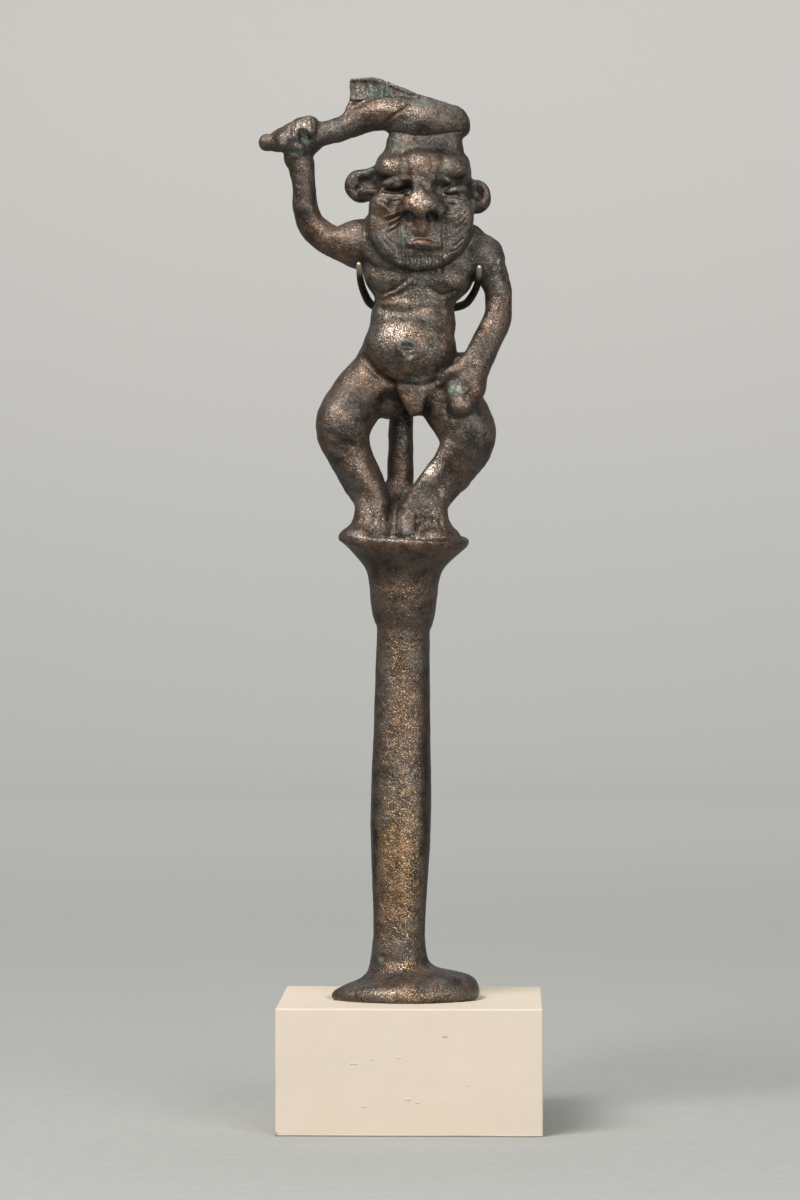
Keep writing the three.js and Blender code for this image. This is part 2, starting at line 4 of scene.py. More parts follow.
import bmesh
import bpy
import numpy as np
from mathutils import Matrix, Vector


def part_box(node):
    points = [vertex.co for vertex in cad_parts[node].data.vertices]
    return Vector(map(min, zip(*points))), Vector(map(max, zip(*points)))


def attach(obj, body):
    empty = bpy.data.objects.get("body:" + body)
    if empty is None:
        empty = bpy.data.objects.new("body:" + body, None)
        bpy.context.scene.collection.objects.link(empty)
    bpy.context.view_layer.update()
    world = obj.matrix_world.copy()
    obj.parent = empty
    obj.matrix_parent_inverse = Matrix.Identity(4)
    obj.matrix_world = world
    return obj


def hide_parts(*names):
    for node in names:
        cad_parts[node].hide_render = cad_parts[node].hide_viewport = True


# A small cast bronze of the dwarf god Bes. He stands on a papyrus column and swings a short sword over a
# broken crown of feathers. The column's foot lies in a shallow bed in a painted block, and a rod behind the
# column carries two claws that hold the figure under the arms.
# Forms are worked out in millimetres, +Z up, the figure looking along -Y, and written to the meshes in
# metres. The bronze is one skin over a field of distances, and the mount's pieces are surfaces on grids.
# The figure's right and left are its own, so its right side has the lower x. On the column and the block
# they are the viewer's.

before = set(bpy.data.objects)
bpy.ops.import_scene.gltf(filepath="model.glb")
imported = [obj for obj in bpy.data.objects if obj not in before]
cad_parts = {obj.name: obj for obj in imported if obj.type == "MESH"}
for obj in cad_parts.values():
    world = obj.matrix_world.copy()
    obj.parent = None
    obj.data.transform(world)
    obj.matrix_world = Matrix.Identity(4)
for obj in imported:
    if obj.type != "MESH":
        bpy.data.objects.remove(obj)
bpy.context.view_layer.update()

MM = 0.001
FAR = 1e3  # further than any form reaches


def corners(node):
    """The lowest and highest corner of a CAD node in millimetres."""
    low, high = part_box(node)
    return np.array(low) / MM, np.array(high) / MM


bronze_low, bronze_high = corners("bes_bronze")
block_low, block_high = corners("mount_block")
mount_low, mount_high = corners("rod_and_claws")

# The papyrus column
COLUMN_X = -1.0  # the foot stands a little to the left on the block
COLUMN_HEIGHT = 77.5
FOOT_RADIUS = 12.5  # across the front
FOOT_DEPTH_RADIUS = 10.0  # front to back
FOOT_EDGE = 2.4  # mean thickness of the foot's rim
FOOT_SLANT = 1.0  # the rim is this much thicker at the right
SHAFT_SHIFT = -1.2  # the shaft's base stands left of the foot's middle
SHAFT_LEAN = 1.04  # and leans back to the right by this much on its way up
SHAFT_BASE_RADIUS = 4.4
SHAFT_SWELL_RADIUS = 5.1
SHAFT_NECK_RADIUS = 4.45
CALYX_RADIUS = 5.6  # the bound sheath under the umbel
UMBEL_RADIUS = 10.7
UMBEL_TILT = math.tan(math.radians(4))  # the umbel's top drops towards the front
UMBEL_SLANT = math.tan(math.radians(2.6))  # and towards the viewer's right
UMBEL_SHIFT = 0.3  # the umbel's edge lies to the right of its stalk
COLUMN_FLOOR = bronze_low[2]
UMBEL_TOP = COLUMN_FLOOR + COLUMN_HEIGHT

# The figure. Its forms are in shares, hundredths of its height, from the middle of the umbel's top.
UNIT = (bronze_high[2] - UMBEL_TOP) / 100
FIGURE_FOOT = np.array([COLUMN_X + SHAFT_SHIFT + SHAFT_LEAN, 0, UMBEL_TOP])
SOLE_SINK = 1  # how far under the umbel's top the feet are cut off
HEAD_FROM = 57  # where the head begins
PLUMES_FROM = 93  # where the stub of the feathers begins

# The mount
ROD_RADIUS = 1.2
ROD_X = FIGURE_FOOT[0] - UNIT
ROD_Y = mount_high[1] - ROD_RADIUS
CLAW_ROOT_RADIUS = 0.72
CLAW_TIP_RADIUS = 0.42
BED_DEPTH = block_high[2] - COLUMN_FLOOR  # the bed that the column's foot lies in
BED_CLEARANCE = 0.5


class Form(NamedTuple):
    """A closed form: the corners of a box that holds it, and its distance from points, negative inside."""

    low: np.ndarray
    high: np.ndarray
    distance: object


def spline(stations, steps):
    """Points on a smooth curve through all stations: Catmull-Rom, each stretch by the cubic of its four
    nearest stations, the ends by doubled end stations."""
    rows = np.array(stations, float)
    padded = np.vstack([2 * rows[0] - rows[1], rows, 2 * rows[-1] - rows[-2]])
    t = (np.arange(steps) / steps)[:, None]
    made = []
    for a, b, c, d in zip(padded, padded[1:], padded[2:], padded[3:]):
        made.append(b + t / 2 * (c - a + t * (2 * a - 5 * b + 4 * c - d + t * (3 * b - a - 3 * c + d))))
    return np.vstack([*made, rows[-1:]])


def chain(*stations, steps=3):
    """A limb over a row of bones [x, y, z, radius]: the distance to the nearest bone, less a radius that
    runs evenly along it. With more steps than one the bones follow a smooth curve."""
    rows = spline(stations, steps) if steps > 1 else np.array(stations, float)
    ends, radii = rows[:, :3], rows[:, 3]

    def distance(points):
        nearest = np.full(len(points), FAR)
        for a, b, thick, thin in zip(ends, ends[1:], radii, radii[1:]):
            bone = b - a
            away = points - a
            along = np.clip(away @ bone / (bone @ bone), 0, 1)
            away = away - along[:, None] * bone
            gap = np.sqrt(np.einsum("ij,ij->i", away, away)) - (thick + (thin - thick) * along)
            np.minimum(nearest, gap, out=nearest)
        return nearest

    reach = radii[:, None]
    return Form((ends - reach).min(0), (ends + reach).max(0), distance)


def mass(at, half, power=2, turn=0.0):
    """A rounded mass. An ellipse across and up is joined to the depth by a power mean: 2 gives an
    ellipsoid, more a disc with a flatter face. The distance is (reach - 1) over the reach's slope. turn
    leans it in the front view, in degrees."""
    at, half = np.array(at, float), np.array(half, float)
    cos, sin = math.cos(math.radians(turn)), math.sin(math.radians(turn))

    def distance(points):
        x, y, z = (points - at).T
        px, py, pz = (x * cos + z * sin) / half[0], np.abs(y) / half[1], (z * cos - x * sin) / half[2]
        ring = np.maximum(np.hypot(px, pz), 1e-6)
        reach = np.maximum((ring**power + py**power) ** (1 / power), 1e-6)
        across = (ring / reach) ** (power - 1) * np.hypot(px / half[0], pz / half[2]) / ring
        deep = (py / reach) ** (power - 1) / half[1]
        return (reach - 1) / np.maximum(np.hypot(across, deep), 1 / half.max())

    wide = np.array([max(half[0], half[2]), half[1], max(half[0], half[2])]) if turn else half
    return Form(at - wide, at + wide, distance)


def dome(at, half):
    """A mass with a flat top: an ellipse seen from above, joined to the height by a fourth power mean."""
    at, half = np.array(at, float), np.array(half, float)

    def distance(points):
        px, py, pz = ((points - at) / half).T
        ring, pz = np.maximum(np.hypot(px, py), 1e-6), np.abs(pz)
        reach = np.maximum((ring**4 + pz**4) ** 0.25, 1e-6)
        across = (ring / reach) ** 3 * np.hypot(px / half[0], py / half[1]) / ring
        return (reach - 1) / np.maximum(np.hypot(across, (pz / reach) ** 3 / half[2]), 1 / half.max())

    return Form(at - half, at + half, distance)


def cushion(at, half):
    """A flat round cushion: an ellipse seen from above, with a half-round edge of the half height."""
    at = np.array(at, float)
    rx, ry = half[0] - half[2], half[1] - half[2]

    def distance(points):
        x, y, z = (points - at).T
        reach = np.maximum(np.hypot(x / rx, y / ry), 1e-6)
        side = reach * (reach - 1) / np.hypot(x / rx**2, y / ry**2).clip(1e-6)
        return np.hypot(np.maximum(side, 0), z) - half[2]

    return Form(at - half, at + half, distance)


def outline_distance(u, v, outline):
    """The signed distance in a plane from a closed outline: to the nearest side, negative inside, where
    inside is an odd number of sides passed by a line along u."""
    nearest = np.full(len(u), FAR)
    inside = np.zeros(len(u), bool)
    for (au, av), (bu, bv) in zip(outline, [*outline[1:], outline[0]]):
        du, dv = bu - au, bv - av
        t = np.clip(((u - au) * du + (v - av) * dv) / (du * du + dv * dv), 0, 1)
        np.minimum(nearest, np.hypot(u - au - du * t, v - av - dv * t), out=nearest)
        if dv:
            inside ^= ((av > v) != (bv > v)) & (u < au + du * (v - av) / dv)
    return np.where(inside, -nearest, nearest)


def plate(outline, middle, half_thickness, rounding):
    """An upright plate: the outline [x, z] carried along y to both sides of its middle, its edges
    rounded."""
    flat = np.array(outline, float)

    def distance(points):
        side = outline_distance(points[:, 0], points[:, 2], outline) + rounding
        face = np.abs(points[:, 1] - middle) - half_thickness + rounding
        outer = np.hypot(np.maximum(side, 0), np.maximum(face, 0))
        return outer + np.minimum(np.maximum(side, face), 0) - rounding

    (left, bottom), (right, top) = flat.min(0), flat.max(0)
    return Form(np.array([left, middle - half_thickness, bottom]),
                np.array([right, middle + half_thickness, top]), distance)


def smooth_minimum(a, b, blend):
    """The lower of two distances, with a fillet where they differ by less than blend."""
    near = np.maximum(blend - np.abs(a - b), 0) / blend
    return np.minimum(a, b) - near * near * blend / 4


def join(part, blend):
    """A step of a group: the part added, with a fillet of the blend's width."""
    return 1, part, blend


def cut(part, blend):
    """A step of a group: the part taken out, with its edge rounded by the blend."""
    return -1, part, blend


def group(*steps):
    """Parts joined one after another, or cut out of what is there. A part is worked out only for the points
    that its box and blend can reach."""

    def distance(points):
        total = np.full(len(points), FAR)
        for sign, part, blend in steps:
            clear = np.maximum(np.maximum(part.low - points, points - part.high), 0)
            bound = np.sqrt(np.einsum("ij,ij->i", clear, clear))
            reached = np.flatnonzero(bound < sign * total + blend)
            other = part.distance(points[reached])
            total[reached] = sign * smooth_minimum(sign * total[reached], other, blend)
        return total

    joined = [part for sign, part, _ in steps if sign > 0]
    return Form(np.min([p.low for p in joined], 0), np.max([p.high for p in joined], 0), distance)


def placed(form, foot, unit):
    """A form in shares, in millimetres about its foot."""
    return Form(form.low * unit + foot, form.high * unit + foot,
                lambda points: form.distance((points - foot) / unit) * unit)


# The figure's head

def skull():
    """A broad skull, flat on top, that runs up into the neck of the crown, and behind it the round mane."""
    return [
        join(dome([3.9, 0.4, 76.0], [10.7, 7.8, 9.2]), 1),  # the skull
        join(cushion([4.3, 0, 85.4], [8.0, 5.5, 3.6]), 1.6),  # the crown's neck
        join(mass([3.6, 0.6, 68.6], [10.9, 8.0, 10.0]), 2),  # the mane
        join(mass([3.5, -4.6, 68.3], [11.4, 4.2, 10.6], power=7), 1.0),  # the flat beard
        join(chain([-8.0, -3.0, 68.0, 1.3], [-8.2, -3.4, 65.2, 1.5], [-7.4, -3.8, 62.2, 1.5],
                   [-4.8, -4.4, 59.6, 1.4], [-1.0, -4.8, 58.0, 1.2]), 2.0),  # the beard's right edge
        join(mass([-10.2, -0.8, 66.6], [2.7, 2.4, 2.4]), 1.2),  # the mane over the right shoulder
    ]


def forehead():
    """A broad swelling over the eyes, and the bridge of the nose that runs up into it."""
    return [
        join(mass([4.0, -3.4, 79.9], [10.2, 5.4, 3.7], power=3), 0.9),
        join(mass([4.2, -5.3, 79.6], [5.0, 3.6, 3.4]), 2.2),
        join(mass([4.0, -6.0, 77.4], [3.4, 3.0, 2.6]), 1.4),
    ]


def cheeks():
    """The mask's round front, full cheeks and a square muzzle."""
    return [
        join(mass([3.8, -4.8, 70.8], [9.6, 4.8, 9.0]), 1.5),
        join(mass([-3.6, -6.4, 71.7], [3.6, 3.3, 2.6], turn=-8), 1.2),
        join(mass([11.2, -6.2, 70.2], [3.6, 3.3, 3.6]), 1.2),
        join(mass([4.0, -5.8, 64.6], [5.3, 3.6, 5.2], power=4), 0.9),
    ]


def eyes():
    """Sunk, closed eyes: one a heavy lid over a dark hollow, the other a swollen lid in a hollow."""
    return [
        # The right eye's hollow and its inner corner, the lid, and the rim below
        cut(mass([-1.4, -9.8, 75.4], [3.9, 2.8, 1.8], turn=-6), 0.7),
        cut(mass([0.9, -9.6, 75.2], [1.6, 2.6, 1.9]), 0.8),
        join(mass([-2.5, -7.0, 76.3], [2.6, 1.5, 1.3], turn=-4), 0.6),
        join(chain([-5.4, -6.9, 73.9, 0.5], [-2.8, -8.2, 73.3, 0.65], [-0.2, -8.5, 73.6, 0.5]), 0.8),
        # The left eye's hollow and its inner corner, the swollen lid, and the line below
        cut(mass([10.0, -9.8, 75.2], [4.1, 2.9, 2.0], turn=12), 0.7),
        cut(mass([8.0, -9.6, 75.8], [1.7, 2.1, 1.5]), 1.0),
        join(mass([11.2, -7.2, 74.9], [2.5, 1.6, 1.1], turn=10), 0.45),
        cut(chain([9.2, -9.0, 73.8, 0.35], [11.2, -8.6, 73.5, 0.4], [13.4, -7.6, 73.0, 0.35]), 0.5),
    ]


def nose():
    """A broad snub nose: a short bridge that widens to a round upturned tip, with open nostrils."""
    return [
        # The bridge and the tip, the gaps beside them, and the wings
        join(chain([3.2, -7.8, 77.0, 1.2], [3.0, -9.3, 75.2, 1.3], [3.4, -10.6, 73.4, 1.8]), 1.0),
        join(mass([3.9, -9.6, 71.4], [4.5, 3.3, 3.0]), 1.0),
        cut(mass([-2.0, -10.4, 72.4], [1.4, 1.7, 2.2], turn=-20), 0.8),
        cut(mass([9.8, -10.4, 72.2], [1.4, 1.7, 2.2], turn=20), 0.8),
        join(mass([0.5, -8.7, 70.4], [2.0, 2.2, 2.0]), 0.8),
        join(mass([7.5, -8.7, 70.4], [2.0, 2.3, 2.2]), 0.8),
        # The ridge from the nose to the lip, the nostrils, and a dent beside the ridge
        join(chain([4.0, -9.9, 70.2, 1.8], [3.9, -8.9, 66.8, 1.7], steps=1), 1.0),
        cut(mass([0.6, -11.0, 68.7], [1.8, 2.6, 1.5], turn=12), 0.6),
        cut(mass([6.4, -11.4, 68.9], [1.35, 2.4, 1.2], turn=-10), 0.6),
        cut(mass([-0.4, -9.6, 67.6], [1.1, 1.2, 2.0]), 0.6),
    ]


def mouth():
    """A thick upper lip that hangs over a deep line, and a hollow under it in place of the lower lip."""
    return [
        join(chain([1.4, -8.9, 63.4, 0.8], [3.2, -9.4, 63.2, 1.2], [5.4, -9.4, 62.9, 1.2],
                   [7.8, -8.7, 62.8, 0.8]), 0.5),
        cut(chain([0.8, -9.4, 62.2, 0.4], [3.2, -10.6, 61.6, 0.55], [5.8, -10.6, 61.3, 0.55],
                  [8.5, -9.6, 61.9, 0.4]), 0.4),
        cut(mass([4.3, -11.0, 60.0], [5.4, 2.1, 1.3]), 0.8),
    ]


def ears():
    """Round ears that stand out: a disc with a thick rim, hollowed beside the head, and a lobe."""
    right = [
        join(mass([-9.3, 0.3, 76.6], [3.8, 1.7, 3.6], power=3, turn=-15), 0.9),
        cut(mass([-8.3, -1.9, 77.2], [2.6, 1.7, 1.5], turn=-40), 0.5),
        cut(mass([-9.8, -1.9, 75.8], [1.2, 1.4, 1.2]), 0.5),
        join(chain([-8.6, -0.8, 74.4, 1.1], [-6.4, -2.2, 73.9, 1.0], steps=1), 0.8),
        join(chain([-10.4, -0.2, 78.6, 0.8], [-6.2, -1.4, 80.0, 0.9], steps=1), 0.7),
        join(chain([-9.4, -1.5, 74.9, 0.6], [-7.2, -2.9, 75.2, 0.7], [-4.9, -4.9, 74.5, 0.8]), 0.5),
    ]
    left = [
        join(mass([15.6, 0.3, 74.3], [3.2, 1.7, 3.7], power=3, turn=12), 0.9),
        cut(mass([16.0, -1.9, 75.0], [1.5, 1.6, 2.1], turn=10), 0.5),
        cut(chain([14.6, -2.6, 76.6, 0.6], [14.8, -2.8, 73.0, 0.7], steps=1), 0.5),
    ]
    return [*right, *left]


def head():
    """The head: a shield-shaped beard and mane, and on its front the mask of the face."""
    return group(*skull(), *forehead(), *cheeks(), *eyes(), *nose(), *mouth(), *ears())


def crown():
    """The crown's broken stub: the roll at its base, an upright plate of feathers, and the sword that has
    run into it."""
    feathers = [[-11.9, 95], [-11.9, 99.3], [-11.3, 99.9], [-8.2, 100], [-4.7, 99.5], [-1.2, 97.9],
                [0.2, 97.3], [2.3, 96.7], [5.3, 95.7], [7.4, 94.9], [8.6, 94.3], [11.4, 93.6], [12.2, 92.7],
                [12.5, 91.5], [12.5, 89.5], [-2.7, 89.1], [-10.5, 89.6], [-13.9, 91.2], [-12.8, 93.5]]
    blade = chain([-14.9, 0, 88.7, 2.4], [-11.4, -0.2, 90, 2.9], [-7.5, -0.9, 91.7, 3.4],
                  [-2.7, -1.9, 92.4, 3.4], [0.8, -2.5, 92.6, 2.6])
    return group(
        join(plate(feathers, 0, 1.9, 0.7), 1),  # the feathers' stub
        join(mass([5.6, -0.6, 91.6], [7.6, 4.6, 3.0], turn=-13), 2.4),  # the slope at its foot
        join(cushion([5.2, 0, 89.6], [8.7, 6.1, 3.3]), 2.4),  # the roll
        join(blade, 0.7),
    )


# The figure's arms

def striking_arm():
    """The raised right arm, bent up from the shoulder, and the fist that holds the sword's grip: four
    fingers over the top, and a pit where their tips meet the palm."""
    arm = chain([-8.2, 0.9, 63.9, 5.0], [-12.0, 0.4, 64.1, 4.4], [-14.4, 0.1, 64.2, 3.6],
                [-17, -0.1, 65.3, 3.3], [-20.1, -0.4, 67.9, 3.1], [-21.5, -0.9, 71.7, 2.75],
                [-21.8, -0.9, 76, 2.5], [-22.5, -0.4, 81.2, 2.9])
    grip = chain([-30.0, 0, 86.2, 1.85], [-28.6, 0, 86.2, 1.9], [-26.4, 0, 86.5, 2.6], [-22.3, 0, 87, 2.8],
                 [-14.9, 0, 88.7, 2.4])
    knuckles = [(-26.3, 87.5), (-24.5, 88.8), (-22.5, 89.8), (-20.5, 90.4)]
    fingers = [join(chain([x, 0.4, z, 1.4], [x, -2.6, z - 0.3, 1.4], [x + 0.2, -4.0, z - 2.2, 1.2]), 1.3)
               for x, z in knuckles]
    return group(
        join(arm, 1),
        join(grip, 1.2),
        join(mass([-22.2, 0.2, 86.9], [4.3, 3.8, 4.2]), 1.4),  # the fist
        *fingers,
        join(mass([-24.2, -0.6, 83.0], [2.0, 2.4, 2.4], turn=-20), 1.0),  # the heel of the hand
        join(mass([-23.4, -2.6, 85.0], [2.3, 2.0, 2.4], turn=20), 1.0),  # the thumb's ball
        cut(mass([-21.6, -4.9, 86.6], [1.1, 1.7, 2.0], turn=25), 0.9),  # the pit in the palm
        cut(mass([-23.2, -4.4, 83.4], [1.8, 1.2, 0.8]), 0.6),  # the wrist's crease
    )


def hanging_arm():
    """The left arm, hanging free of the waist. Its inner edge runs on into the thumb along the groin;
    under the thumb the hand is hollow, and its curled fingers make one lobe on the thigh."""
    arm = chain([17, 0.9, 61.2, 4.5], [20, 0.4, 55, 3.1], [20.4, 0.4, 50.7, 2.9], [20.1, 0, 47, 3],
                [17.8, -1.7, 42.2, 3.1], [15.8, -4.3, 37.4, 3.1], [14.3, -5.6, 33.6, 3.0], steps=4)
    thumb = chain([19.4, -1.2, 48.4, 1.5], [16.6, -3.4, 42.6, 1.5], [14.8, -5.8, 39.6, 1.5],
                  [12.0, -7.4, 36.8, 1.4], [9.6, -7.6, 35.4, 1.1], [7.4, -6.8, 33.4, 0.6])
    return group(
        join(arm, 1),
        join(mass([12.9, -6.0, 31.8], [4.0, 3.4, 4.4], turn=14), 1.6),  # the hand
        join(thumb, 1.6),
        join(mass([12.5, -7.4, 28.2], [2.9, 2.7, 2.3], turn=8), 1.1),  # the curled fingers
        join(mass([15.0, -6.2, 32.4], [2.2, 2.6, 3.6], turn=-14), 1.4),  # the hand's outer edge
        cut(mass([11.4, -11.2, 33.0], [3.2, 2.2, 1.8], turn=-42), 1.6),  # the hollow under the thumb
    )


# The figure's body

def torso():
    """The trunk: a broad flat chest over ribs and waist, shoulder blades and a long back."""
    return group(
        join(mass([2, 0, 49.1], [8.8, 5.9, 8.7]), 1),  # the ribs and the waist
        join(mass([4.4, -0.4, 45.6], [6.6, 5.2, 5.0]), 1.5),  # the left flank
        join(mass([2.9, -0.2, 56.6], [10.6, 6.0, 6.3]), 2),  # the chest
        join(chain([-9.2, 0.9, 64, 5.4], [3.6, 1.3, 61.3, 5.2], [17, 0.9, 61.2, 4.5], steps=1), 3),
        join(mass([14.0, 1.0, 65.0], [3.8, 3.8, 3.4], turn=-30), 1.5),  # the top of the left shoulder
        join(chain([-2.2, 0.6, 48, 5.2], [-3.4, 0.8, 44.5, 4.6], [-5.0, 1.2, 39.5, 4.8]), 1.0),
        join(mass([-3.3, -0.9, 56.7], [5.2, 4.3, 3.7], turn=-6), 2.4),  # the right breast
        join(mass([9.3, -0.9, 55.9], [5.2, 4.2, 4.0], turn=6), 2.4),  # the left breast
        join(mass([-4.6, 4.2, 59.5], [4.4, 3.0, 5.0], turn=14), 2),  # the right shoulder blade
        join(mass([10.8, 4.2, 58.5], [4.4, 3.0, 5.0], turn=-14), 2),  # the left shoulder blade
        cut(chain([3.4, 7.6, 60, 0.7], [2.4, 7.2, 50, 0.9], [1, 8.2, 42, 0.6]), 1.8),  # the spine's furrow
    )


def belly():
    """The round belly that hangs over the groin, with a raised ring round the navel."""
    return [
        join(mass([1.1, -1.8, 40.9], [10.2, 7.4, 8.2]), 0.9),  # the belly
        join(mass([0.9, -8.8, 41.0], [2.4, 0.9, 1.7]), 0.6),  # the ring
        cut(mass([0.8, -9.9, 41.2], [1.6, 1.5, 0.95]), 0.5),  # the navel
    ]


def leg(stations, knee, shin, calf):
    """A short bowed leg: thigh and shank over smooth bones, with a kneecap, a shin's edge and a calf."""
    return [
        join(chain(*stations, steps=4), 1.4),
        join(mass(*knee), 2.4),
        join(on_umbel(chain(*shin)), 1.9),
        join(mass(*calf), 2),
    ]


def umbel_top(x, y):
    """How high the umbel's leaning top stands over a place on it."""
    return y * UMBEL_TILT - x * UMBEL_SLANT


def on_umbel(form):
    """A form cut off flat, a little under the umbel's leaning top."""
    return Form(form.low, form.high, lambda points: np.maximum(
        form.distance(points), umbel_top(points[:, 0], points[:, 1]) - SOLE_SINK - points[:, 2]))


def legs():
    """Both legs with their splayed feet, the metal between the feet, and the tail with its forked end."""
    right = leg(
        [[-5.5, 1.3, 36.1, 5.9], [-10.2, 0, 30.4, 6.2], [-13.2, -2.6, 24.2, 6.1], [-12, -2.0, 18.7, 4.9],
         [-8.9, -1.0, 12.2, 4.5], [-6.2, -1.0, 7.0, 3.7]],
        knee=([-14.4, -4.4, 25.2], [3.3, 3.0, 3.6]),
        shin=[[-14.4, -4.2, 20.4, 2.0], [-11.4, -4.8, 16.2, 2.1], [-8.0, -4.6, 12.0, 2.2],
              [-5.8, -4.6, 8.4, 2.3], [-5.2, -5.2, 4.6, 2.4], [-5.2, -6.2, 1.0, 2.6]],
        calf=([-11.4, 2.2, 16.6], [3.4, 3.4, 5.4]),
    )
    left = leg(
        [[6, 1.3, 35.6, 6.9], [10.3, 0, 29.3, 6.7], [13.6, -2.6, 22.6, 6.2], [12.4, -2.0, 17.4, 5.1],
         [8.6, -1.0, 12, 4.1], [5.1, -1.0, 7.0, 3.4]],
        knee=([15.2, -4.4, 22.8], [3.6, 3.0, 3.7]),
        shin=[[9.8, -5.4, 19.8, 1.8], [6.8, -5.7, 14.6, 2.0], [4.0, -5.6, 10.8, 2.1],
              [1.9, -5.4, 7.6, 2.2], [1.0, -5.8, 3.8, 2.3], [0.9, -6.6, 0.8, 2.4]],
        calf=([11.6, 2.2, 15.6], [3.4, 3.4, 5.4]),
    )
    right_foot = chain([-6.0, 0.6, 4.0, 3.6], [-7.2, -3.0, 0.9, 4.1], [-8.0, -6.2, -1.4, 3.9])
    left_foot = chain([5.2, 0.6, 3.8, 3.5], [6.2, -3.0, 0.6, 4.2], [6.8, -6.2, -1.7, 4.0])
    right_toes = mass([-9.2, -4.6, 0.2], [5.0, 5.2, 2.9])
    left_toes = mass([7.4, -4.6, -0.2], [5.0, 5.4, 3.1])
    right_instep = mass([-7.6, -4.0, 4.4], [3.2, 3.0, 5.2])
    left_instep = mass([4.8, -3.8, 5.4], [4.4, 3.4, 5.6], turn=12)
    between = mass([-0.8, -2.0, 0.8], [4.0, 5.2, 7.4])
    left_fork = mass([1.8, 4.8, 7.6], [2.9, 2.8, 3.6])
    right_fork = mass([-3.2, 4.8, 8.6], [2.7, 2.8, 4.0])
    tail = chain([-0.5, 7, 31.1, 2.4], [-1, 7.2, 23.5, 2.7], [-1, 6, 8, 2.9], [-0.4, 4.4, 3, 3.6])
    return [
        *right,
        *left,
        *[join(on_umbel(form), 1.6) for form in (right_foot, left_foot, right_toes, left_toes)],
        *[join(on_umbel(form), 2.2) for form in (right_instep, left_instep)],
        join(on_umbel(between), 1.4),
        join(left_fork, 1.2),
        join(right_fork, 1.2),
        join(tail, 1.5),
    ]


def figure():
    """The whole dwarf, in shares of his height."""
    wedge = [[-3.4, 37.0], [7.0, 37.0], [5.4, 31.0], [3.9, 26.7], [1.6, 26.3], [-0.8, 30.2]]
    body = group(
        join(torso(), 1),
        join(mass([0.5, 1.3, 34.4], [9.4, 6.1, 6.2]), 2),  # the hips
        *legs(),
        join(mass([-4.4, 5.4, 36.3], [5.1, 4.7, 5.1]), 2),  # the right buttock
        join(mass([5.6, 5.4, 36.3], [5.1, 4.7, 5.1]), 1.2),  # the left buttock
        join(mass([-3.6, 1.4, 29.4], [3.4, 4.4, 3.4]), 1.2),  # the root of the right thigh
        join(mass([12.6, -1.0, 37.0], [3.2, 3.4, 3.4]), 1.0),  # the left hip under the hand
        *belly(),
        join(plate(wedge, -3.4, 2.9, 1.1), 1.2),  # the wedge under the belly
    )
    return group(
        join(body, 1),
        join(striking_arm(), 1.6),
        join(hanging_arm(), 1.0),
        join(head(), 0.6),
        join(crown(), 0.9),
    )


# The column

def profile_of(*stretches):
    """A turned profile as [radius, height] pairs: each stretch is a smooth curve through its pairs."""
    return [list(pair) for stretch in stretches for pair in spline(stretch, 4)]


def column():
    """The papyrus stalk with its open umbel: a turned profile, leaning with the height, whose head is
    sheared by the umbel's slant."""
    rise = COLUMN_HEIGHT
    side = profile_of(
        [[SHAFT_BASE_RADIUS, rise * 0.02], [SHAFT_BASE_RADIUS, rise * 0.18],
         [SHAFT_SWELL_RADIUS, rise * 0.38], [(SHAFT_SWELL_RADIUS + SHAFT_NECK_RADIUS) / 2, rise * 0.59],
         [SHAFT_NECK_RADIUS, rise * 0.785], [SHAFT_NECK_RADIUS, rise * 0.806]],
        [[SHAFT_NECK_RADIUS + 0.35, rise * 0.814], [CALYX_RADIUS - 0.35, rise * 0.836],
         [CALYX_RADIUS, rise * 0.868], [CALYX_RADIUS + 0.28, rise * 0.902],
         [CALYX_RADIUS + 0.85, rise * 0.93], [UMBEL_RADIUS - 3.0, rise * 0.952],
         [UMBEL_RADIUS - 1.3, rise * 0.9735], [UMBEL_RADIUS - 0.3, rise * 0.985]],
        [[UMBEL_RADIUS, rise - 0.6], [UMBEL_RADIUS + 0.05, rise + 0.1], [UMBEL_RADIUS - 0.4, rise + 0.5],
         [UMBEL_RADIUS - 1.2, rise + 0.4], [UMBEL_RADIUS - 2.4, rise]],
        [[UMBEL_RADIUS - 2.6, rise], [0, rise]],
    )
    outline = [[0, side[0][1]], *side]
    head_from = rise * 0.9
    ledge, ledge_reach, ledge_slant = rise * 0.81, 6, 0.055

    def distance(points):
        height = points[:, 2] - COLUMN_FLOOR
        x = points[:, 0] - COLUMN_X - SHAFT_SHIFT - SHAFT_LEAN * height / rise
        y = points[:, 1]
        opened = np.clip((height - head_from) / (rise - head_from), 0, 1)
        x = x - UMBEL_SHIFT * opened
        height = height - umbel_top(x, y) * opened
        near_ledge = np.clip(1 - np.abs(height - ledge) / ledge_reach, 0, 1)
        height = height + ledge_slant * x * near_ledge
        ragged = 0.16 * np.sin(3 * np.arctan2(y, x) + 1) + 0.1 * np.sin(7 * np.arctan2(y, x) + 2)
        radius = np.hypot(x, y) + ragged * opened
        return outline_distance(radius, height, outline)

    reach = UMBEL_RADIUS + 0.6
    low = np.array([COLUMN_X - reach, -reach, COLUMN_FLOOR])
    high = np.array([COLUMN_X + reach, reach, UMBEL_TOP + 1.6])
    return Form(low, high, distance)


